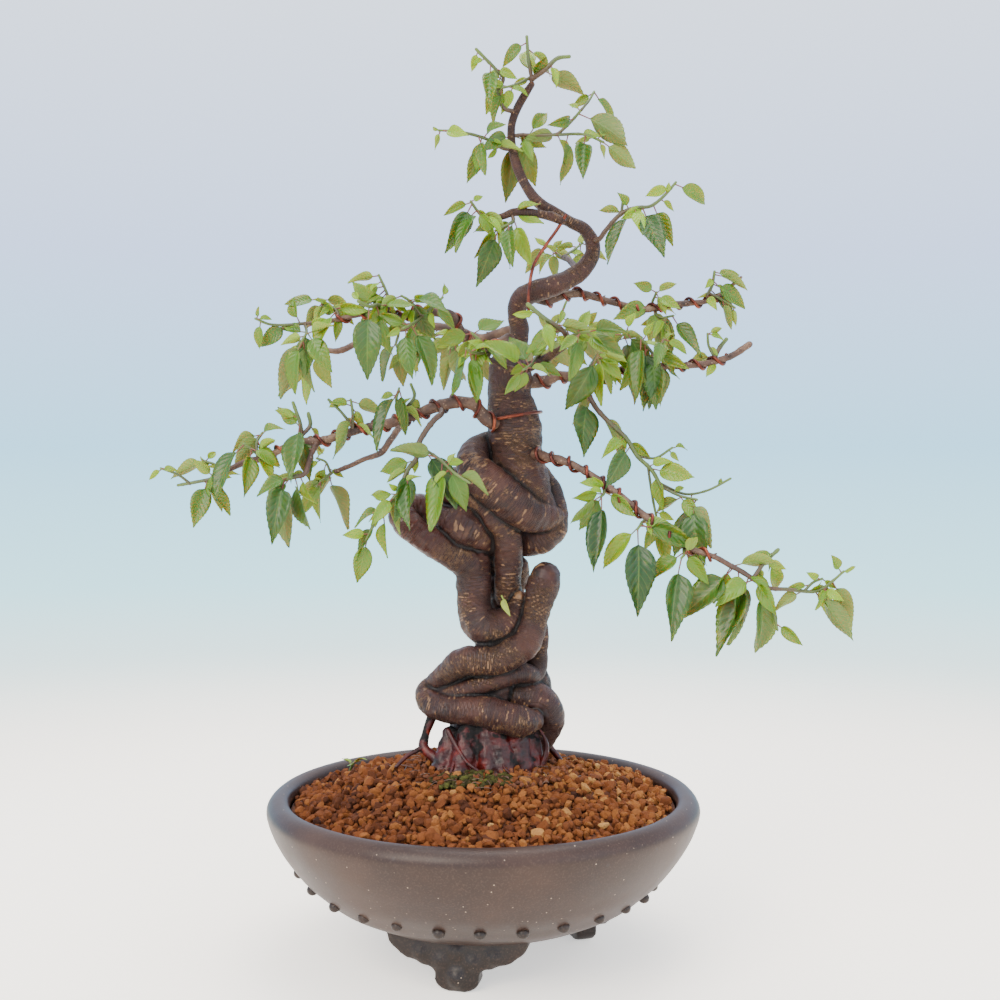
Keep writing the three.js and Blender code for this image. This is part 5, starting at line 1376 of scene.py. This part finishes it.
def trunk():
    """All the strands under one skin, with wrinkles round each strand and soft lumps."""
    raw = Form()
    limbs = trunk_limbs + sum(spur_limbs.values(), [])
    for limb in limbs:
        shares = limb.shares(2.5)
        raw.sweep(limb.at(shares), limb.radius_at(shares), 28)
    mesh = remeshed(raw.mesh("trunk", CROWN), 0.8, 1)

    samples, reaches = [], []
    start = 0.0
    for limb in limbs:
        shares = limb.shares(1.2)
        samples.append(limb.at(shares))
        reaches.append(start + shares * limb.length)
        start += limb.length + 50
    samples, reaches = np.vstack(samples), np.concatenate(reaches)
    finder = kdtree.KDTree(len(samples))
    for i, sample in enumerate(samples):
        finder.insert(sample, i)
    finder.balance()
    places = (corner_array(mesh) - AXIS) / MM - [0, 0, CROWN]
    nearest = [finder.find(place)[1] for place in places]
    along = reaches[nearest]
    gap = np.linalg.norm(places - samples[nearest], axis=1)
    # How hollow each place is: it deepens the creases in the skin, and the bark uses it to darken
    # them as painted shade.
    crease_and_shade = np.clip((hollowness(mesh, places, 4) - 0.006) / 0.028, 0, 1)

    across = places / 11
    ring_points = np.column_stack([across[:, 0], across[:, 1], along / 3.4])
    wrinkles = lumps(ring_points, 1.0, 2.2)
    swell = lumps(places, 9, 5.0) * 0.8 + lumps(places, 3.6, 1.0) * 0.35
    thick = np.clip((gap - 2.5) / 6, 0.12, 1)
    height = (swell + wrinkles * 0.45 - crease_and_shade * 0.5) * thick
    places = places + normal_array(mesh) * height[:, None]
    mesh.vertices.foreach_set("co", ((places + [0, 0, CROWN]) * MM + AXIS).ravel())
    set_attribute(mesh, "along", along)
    set_attribute(mesh, "crease_and_shade", crease_and_shade)
    tip = np.array(TRUNK_STRANDS["elbow"][6][:3], float)
    near_tip = np.clip(2.6 - np.linalg.norm(places - tip, axis=1) / 14, 0, 1)
    near_root = np.clip((16 - places[:, 2]) / 12, 0, 0.9)
    set_attribute(mesh, "ruddy", np.maximum(near_tip, near_root))
    mesh.update()
    show("old_trunk", mesh, [BARK], ["trunk"])


def roots():
    """The bare red roots between the trunk and the soil."""
    raw = Form()
    for top, foot in ROOT_LUMPS:
        limb = Limb([top, foot])
        shares = limb.shares(2)
        raw.sweep(limb.at(shares), limb.radius_at(shares), 16)
    mesh = remeshed(raw.mesh("root_stubs", CROWN), 1.0, 2)
    places = (corner_array(mesh) - AXIS) / MM
    height = lumps(places, 6, 4.0) * 1.5 + lumps(places, 2.4, 7.0) * 0.6
    places = places + normal_array(mesh) * height[:, None]
    mesh.vertices.foreach_set("co", (places * MM + AXIS).ravel())
    mesh.update()
    show("root_stubs", mesh, [ROOT], ["trunk"])
    thin = Form()
    for points in ROOTLETS:
        limb = Limb(points)
        shares = limb.shares(1.2)
        thin.sweep(limb.at(shares), limb.radius_at(shares), 8, grain=grain_of((3, 6.0, 0.18)))
    show("rootlets", thin.mesh("rootlets", CROWN), [ROOT], ["trunk"])


# ---------------------------------------------------------------- branches


BUD_PITCH = 9.0  # along a branch, from one old bud to the next


def knotted(limb):
    """Places and radii along a limb whose bark swells at each old bud."""
    shares = limb.shares(1.6)
    radii = limb.radius_at(shares)
    beat = np.cos(shares * limb.length / BUD_PITCH * 2 * math.pi)
    return limb.at(shares), radii * (1 + 0.1 * np.maximum(beat, 0) ** 4)


def add_buds(form, limb, seed):
    """Small pointed buds that sit on alternate sides of a limb."""
    count = int(limb.length / BUD_PITCH)
    for i in range(1, count):
        share = i * BUD_PITCH / limb.length
        centre, radius = limb.at(share), float(limb.radius_at(share))
        ahead = limb.tangents_at([share])[0]
        side = unit(np.cross(ahead, [0.2, 0.9, 0.35]))
        side = turned_about(side, ahead, i * 2.4 + seed)
        way = unit(side + ahead * 0.9)
        base = centre + side * radius * 0.8
        path = [base, base + way * 0.9, base + way * 1.7]
        form.sweep(path, [0.75, 0.65, 0.25], 6)


def branches():
    """The side branches, with rough bark, swollen knots and buds."""
    rough = grain_of((4, 3.0, 0.22), (1.6, 9.0, 0.1))
    for number, (name, limbs) in enumerate(branch_limbs.items()):
        form = Form()
        for limb in limbs:
            path, radii = knotted(limb)
            form.sweep(path, radii, 12, grain=rough)
            add_buds(form, limb, number)
        show(f"bark_{name}", form.mesh(name, CROWN), [BRANCH], [name])


# ---------------------------------------------------------------- leaves and shoots

STALK_SHARE = 0.2  # of a leaf's whole length
TEETH = 11
LEAF_ROWS = 2 * TEETH
LEAF_HALF_COLUMNS = 3
LEAF_THICKNESS = 0.28
COMPANION_FROM = 17  # a leaf this long may have a smaller one beside it, from the same bud
COMPANION_SHARE = 0.75


def leaf_direction(lean, key):
    """The way a leaf points, from its lean; it also turns a little to the front or back."""
    angle = math.radians(lean)
    return unit([math.sin(angle), (scatter(key) - 0.5) * 1.3, -math.cos(angle)])


def half_width(share):
    """Half the width of a blade, as a share of its greatest half width."""
    return 3.0 * share**0.6 * (1 - share) ** 1.15


def add_leaf(form, base, direction, length, roll, key, looks=(1, 2, 3)):
    """A toothed leaf with a pointed tip on a thin stalk; it droops, folds and curls a little."""
    side = np.cross(direction, [0, 1, 0])
    side = turned_about(unit(side), direction, roll)
    up = np.cross(side, direction)
    outward = np.array([base[0] - 15, base[1] - 25, 0])
    if up.dot(unit(outward) * 0.7 + [0, 0, 0.8]) < 0:
        up, side = -up, -side
    droop = 0.08 + 0.1 * scatter(key + 0.1)
    curl = (scatter(key + 0.2) - 0.35) * 0.22
    fold = 0.25 + 0.5 * scatter(key + 0.3)
    wave = scatter(key + 0.4) * 6
    bend = (scatter(key + 0.6) - 0.5) * 0.22
    age = min(1, max(0, (length - 12) / 26)) * 0.75 + 0.35 * scatter(key + 0.7) - 0.05
    if scatter(key + 0.8) < 0.12:
        age -= 0.35
    age = min(1, max(0, age))

    def rib(share):
        lift = curl * length * math.sin(math.pi * share)
        sideways = bend * length * share**2
        point = base + direction * length * share + up * lift + side * sideways
        return point - np.array([0, 0, droop * length * share**2])

    stalk = [rib(STALK_SHARE * i / 3) for i in range(4)]
    form.sweep(stalk, [0.55, 0.42, 0.4, 0.36], 5, looks[0])

    half = length * LEAF_WIDTH / 2
    columns = 2 * LEAF_HALF_COLUMNS + 1
    top, bottom, uv = [], [], []
    for row in range(LEAF_ROWS + 1):
        share = row / LEAF_ROWS
        reach = half_width(min(max(share, 0.0), 0.985)) * half
        if row % 2 and share < 0.97:
            reach += 0.03 * half
        middle = rib(STALK_SHARE + (1 - STALK_SHARE) * share)
        for column in range(columns):
            across = column / LEAF_HALF_COLUMNS - 1
            lean_forward = 0.025 * length * abs(across) ** 2 * (row % 2)
            raised = abs(across) * reach * math.sin(fold)
            raised += math.sin(share * 7 + wave + across) * 0.13 * half * across**2
            point = middle + side * across * reach * math.cos(fold) + up * raised
            point = point + direction * lean_forward * 0.5
            thin = LEAF_THICKNESS * (1 - 0.75 * across**2) * (1.15 - share) / 2
            top.append(point + up * thin)
            bottom.append(point - up * thin)
            uv.append([0.5 + across / 2, share])
    size = len(top)
    faces, kinds = [], []
    for row in range(LEAF_ROWS):
        for column in range(columns - 1):
            a = row * columns + column
            b, c, d = a + 1, a + columns + 1, a + columns
            faces.append([a, b, c, d])
            kinds.append(looks[1])
            faces.append([size + d, size + c, size + b, size + a])
            kinds.append(looks[2])
    rim = list(range(columns))
    rim += [row * columns + columns - 1 for row in range(1, LEAF_ROWS + 1)]
    rim += [LEAF_ROWS * columns + column for column in range(columns - 2, -1, -1)]
    rim += [row * columns for row in range(LEAF_ROWS - 1, 0, -1)]
    for a, b in zip(rim, rim[1:] + rim[:1]):
        faces.append([b, a, size + a, size + b])
        kinds.append(looks[1])
    form.add([*top, *bottom], faces, kinds, age, uv + uv)


def twig_limbs(twigs):
    """The limbs of a shoot's twigs: the first grows from a branch, the others from those before."""
    limbs = []
    for twig in twigs:
        line, (thick, thin) = twig["line"], twig["girth"]
        last = len(line) - 1
        points = [[*point, thick + (thin - thick) * i / last] for i, point in enumerate(line)]
        limbs.append(rooted_limb(points, limbs or all_limbs))
    return limbs


def shoots():
    """Every shoot: its twigs, its leaves, and a smaller leaf beside some of the larger ones."""
    grain = grain_of((3, 2.0, 0.08))
    for number, (name, twigs) in enumerate(SHOOTS.items(), 1):
        form = Form()
        limbs = twig_limbs(twigs)
        for t, (twig, limb) in enumerate(zip(twigs, limbs)):
            shares = limb.shares(1.5)
            foot = min(1, max(0, (1.45 - float(limb.radius_at(0))) / 0.6)) * 0.5
            knots = 1 + 0.16 * np.maximum(np.cos(shares * limb.length / 7 * 2 * math.pi), 0) ** 6
            radii = limb.radius_at(shares) * knots
            form.sweep(limb.at(shares), radii, 9, 0, foot + (1 - foot) * shares, grain)
            for i, (along, lean, length) in enumerate(twig["leaves"]):
                key = number * 31 + t * 7 + i
                direction = leaf_direction(lean, key)
                shown = math.hypot(direction[0], direction[2])
                roll = (scatter(key + 0.5) - 0.5) * 2.0
                base = limb.at(min(along, 0.98))
                add_leaf(form, base, direction, length / shown, roll, key)
                if length < COMPANION_FROM or scatter(key + 0.9) > COMPANION_SHARE:
                    continue
                hand = 1 if scatter(key + 0.45) > 0.5 else -1
                turn = lean + (60 + 80 * scatter(key + 0.35)) * hand
                beside = leaf_direction(turn if abs(turn) < 150 else lean / 2, key + 4000)
                node = limb.at(min(1, max(0, along - 4 / limb.length)))
                small = length * (0.5 + 0.3 * scatter(key + 0.15))
                add_leaf(form, node, beside, small, -roll, key + 4000)
        looks = [TWIG, STALK, LEAF_TOP, LEAF_UNDER]
        show(f"spray_{name}", form.mesh(name, CROWN), looks, [f"shoot_{name}"])


# ---------------------------------------------------------------- wires


COIL_GAP = 0.25  # between a coil and the bark
TIE_MIDDLE = [18, 0, 207]
TIE_SHARE = 0.33  # how far down the main strand the tie is
TIE_TILT = 3


def coil_path(limb, start, end, phase):
    """A helix that lies on a limb's bark."""
    turns = (end - start) * limb.length / WIRE_PITCH
    steps = round(turns * 20)
    frame_count = 200
    normals, across = carried_frames(limb.tangents_at(np.linspace(0, 1, frame_count + 1)))
    path = []
    for i in range(steps + 1):
        share = start + (end - start) * i / steps
        turn = (phase + turns * i / steps) * 2 * math.pi
        k = round(share * frame_count)
        away = float(limb.radius_at(share)) + WIRE_RADIUS + COIL_GAP
        way = normals[k] * math.cos(turn) + across[k] * math.sin(turn)
        path.append(limb.at(share) + way * away)
    path = np.array(path)
    for _ in range(2):
        path[1:-1] = (path[:-2] + path[1:-1] * 2 + path[2:]) / 4
    return path


def add_wire(form, path):
    """A round wire along a path."""
    form.sweep(path, np.full(len(path), WIRE_RADIUS), 10)


def wires():
    """The coiled training wires, the guy wire and the tie round the trunk."""
    for name, (branch, start, end, phase) in WIRES.items():
        form = Form()
        add_wire(form, coil_path(branch_limbs[branch][0], start, end, phase))
        show(f"coil_{name}", form.mesh(name, CROWN), [COPPER], [name])
    form = Form()
    path, _ = rounded_path(GUY_WIRE, 12)
    add_wire(form, path)
    show("coil_wire_guy", form.mesh("wire_guy", CROWN), [COPPER], ["wire_guy"])
    main = Limb(TRUNK_STRANDS["main"])
    away = float(main.radius_at(TIE_SHARE)) + WIRE_RADIUS + 0.6
    form = Form()
    steps = 60
    ring = []
    for i in range(steps + 1):
        turn = math.pi * (0.6 + 1.8 * i / steps)
        way = np.array([math.cos(turn) * away, math.sin(turn) * away, math.cos(turn) * TIE_TILT])
        ring.append(way + TIE_MIDDLE)
    add_wire(form, np.array(ring))
    show("coil_wire_tie", form.mesh("wire_tie", CROWN), [COPPER], ["wire_trunk_tie"])


# ---------------------------------------------------------------- small growth


def moss():
    """A low patch of moss: many small tufts."""
    low, high = (np.array(corner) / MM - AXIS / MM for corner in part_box("moss"))
    middle, half = (low + high) / 2, (high - low) / 2
    ball, faces = ico_points()
    rng = np.random.default_rng(12)
    form = Form()
    for _ in range(150):
        turn, reach = rng.random() * 2 * math.pi, math.sqrt(rng.random()) * 0.92
        x = middle[0] + math.cos(turn) * reach * half[0]
        y = middle[1] + math.sin(turn) * reach * half[1]
        size = 1.0 + 1.3 * rng.random()
        rise = soil_height(math.hypot(x, y)) + 0.6 + 1.2 * (1 - reach)
        shape = ball * (1 + rng.normal(0, 0.16, (len(ball), 1))) * [size, size, size * 0.8]
        form.add(shape + [x, y, rise], faces)
    show("moss_tufts", form.mesh("moss_tufts"), [MOSS], ["moss"])


def seedling():
    """A weed with four small leaves near the rim."""
    x, y = -88, 52
    foot = soil_height(math.hypot(x, y)) - 3
    stem = Limb([[x, y, foot, 0.9], [x + 1, y, foot + 4.5, 0.8], [x + 3, y - 1, foot + 9, 0.7]])
    form = Form()
    shares = stem.shares(1.5)
    form.sweep(stem.at(shares), stem.radius_at(shares), 8, 0, 0.5 + shares / 2)
    for i in range(4):
        turn = i * 2.4
        way = unit([math.cos(turn), math.sin(turn), 0.35])
        add_leaf(form, stem.at(0.99 - i * 0.1), way, 10, 1.4, 900 + i)
    show("weed", form.mesh("weed"), [TWIG, STALK, LEAF_TOP, LEAF_UNDER], ["seedling"])


def fallen_leaf():
    """A dry leaf caught between the strands of the trunk."""
    form = Form()
    way = unit([0.5, -0.35, -0.8])
    add_leaf(form, np.array([11, -22, 101.0]), way, 12, 0.3, 950, looks=(0, 0, 0))
    show("caught_leaf", form.mesh("caught_leaf", CROWN), [DRY_LEAF], ["fallen_leaf"])


# ---------------------------------------------------------------- surroundings


CAMERA_PLACE = (10, -783.5, 292.4)  # from the foot of the pot's axis
CAMERA_DIP = 0.025  # radians below level


def camera():
    """The view from the front, a little above the middle of the tree."""
    eye = bpy.data.cameras.new("camera")
    eye.sensor_width = 36
    eye.lens = 46.7
    eye.clip_end = 50
    holder = in_scene("camera", eye)
    holder.location = Vector(AXIS) + Vector(CAMERA_PLACE) * MM
    holder.rotation_euler = (math.pi / 2 - CAMERA_DIP, 0, 0)
    bpy.context.scene.camera = holder


def lamp(name, place, aim, size, power, code):
    """A square area light that faces a place."""
    light = bpy.data.lights.new(name, "AREA")
    light.size = size
    light.energy = power
    light.color = rgb(code)[:3]
    holder = in_scene(name, light)
    holder.location = place
    holder.rotation_euler = (Vector(aim) - Vector(place)).to_track_quat("-Z", "Y").to_euler()


def floor():
    """A round pale floor whose far edge fades out, so that it meets the backdrop without a line."""
    steps, ring_count, reach = 96, 24, 1500
    form = Form()
    points = [[0, 0, 0]]
    for ring in range(1, ring_count + 1):
        radius = reach * ring / ring_count
        for i in range(steps):
            turn = i / steps * 2 * math.pi
            points.append([radius * math.cos(turn), radius * math.sin(turn), 0])
    faces = [[0, 1 + i, 1 + (i + 1) % steps] for i in range(steps)]
    for ring in range(ring_count - 1):
        base = 1 + ring * steps
        for i in range(steps):
            j = (i + 1) % steps
            faces.append([base + i, base + steps + i, base + steps + j, base + j])
    tones = np.clip(1.35 - np.linalg.norm(points, axis=1) / 1050, 0, 1)
    form.add(points, faces, tone=tones)
    mesh = form.mesh("floor")
    look = Look("floor", Roughness=0.9, Specular_IOR_Level=0.1, Emission_Strength=0.8)
    look.feed(look.shader, {"Alpha": look.step(look.attribute("tone"), 0.0, 1.0)})
    colour = look.ramp(look.noise(900, 2), (0.3, "fdefdc"), (0.7, "fff6e6"))
    mesh.materials.append(look.done(colour))
    in_scene("floor", mesh)


def backdrop():
    """A pale sky: warm white low down, then light blue, then grey-blue."""
    world = bpy.data.worlds.new("studio")
    bpy.context.scene.world = world
    world.use_nodes = True
    nodes, links = world.node_tree.nodes, world.node_tree.links
    coordinates = nodes.new("ShaderNodeTexCoord")
    split = nodes.new("ShaderNodeSeparateXYZ")
    shift = nodes.new("ShaderNodeMapRange")
    ramp = nodes.new("ShaderNodeValToRGB")
    links.new(coordinates.outputs["Generated"], split.inputs[0])
    links.new(split.outputs["Z"], shift.inputs["Value"])
    shift.inputs["From Min"].default_value = -0.4
    shift.inputs["From Max"].default_value = 0.4
    links.new(shift.outputs[0], ramp.inputs["Fac"])
    stops = [
        (0.1, "fff2dd"), (0.24, "f5f4ea"), (0.39, "aee4f1"),
        (0.52, "96cde9"), (0.7, "b0c5e8"), (0.95, "cfd8e8"),
    ]
    set_stops(ramp, stops)
    background = nodes["Background"]
    links.new(ramp.outputs["Color"], background.inputs["Color"])
    background.inputs["Strength"].default_value = 2.75


def lamps():
    """Soft studio light: a warm key, a fill and a top light."""
    lamp("key", (-1.2, -1.9, 1.7), (0, 0, 0.3), 1.5, 95, "fff4e2")
    lamp("fill", (1.8, -1.5, 1.0), (0, 0, 0.3), 1.8, 24, "fbfaf7")
    lamp("top", (0.2, 0.3, 2.4), (0, 0, 0.2), 1.5, 52, "fffcf6")


# ---------------------------------------------------------------- assembly

pot_body()
studs()
feet()
drain_screen()
soil_base()
granules()
debris()
trunk()
roots()
branches()
shoots()
wires()
moss()
seedling()
fallen_leaf()
floor()
backdrop()
lamps()
camera()
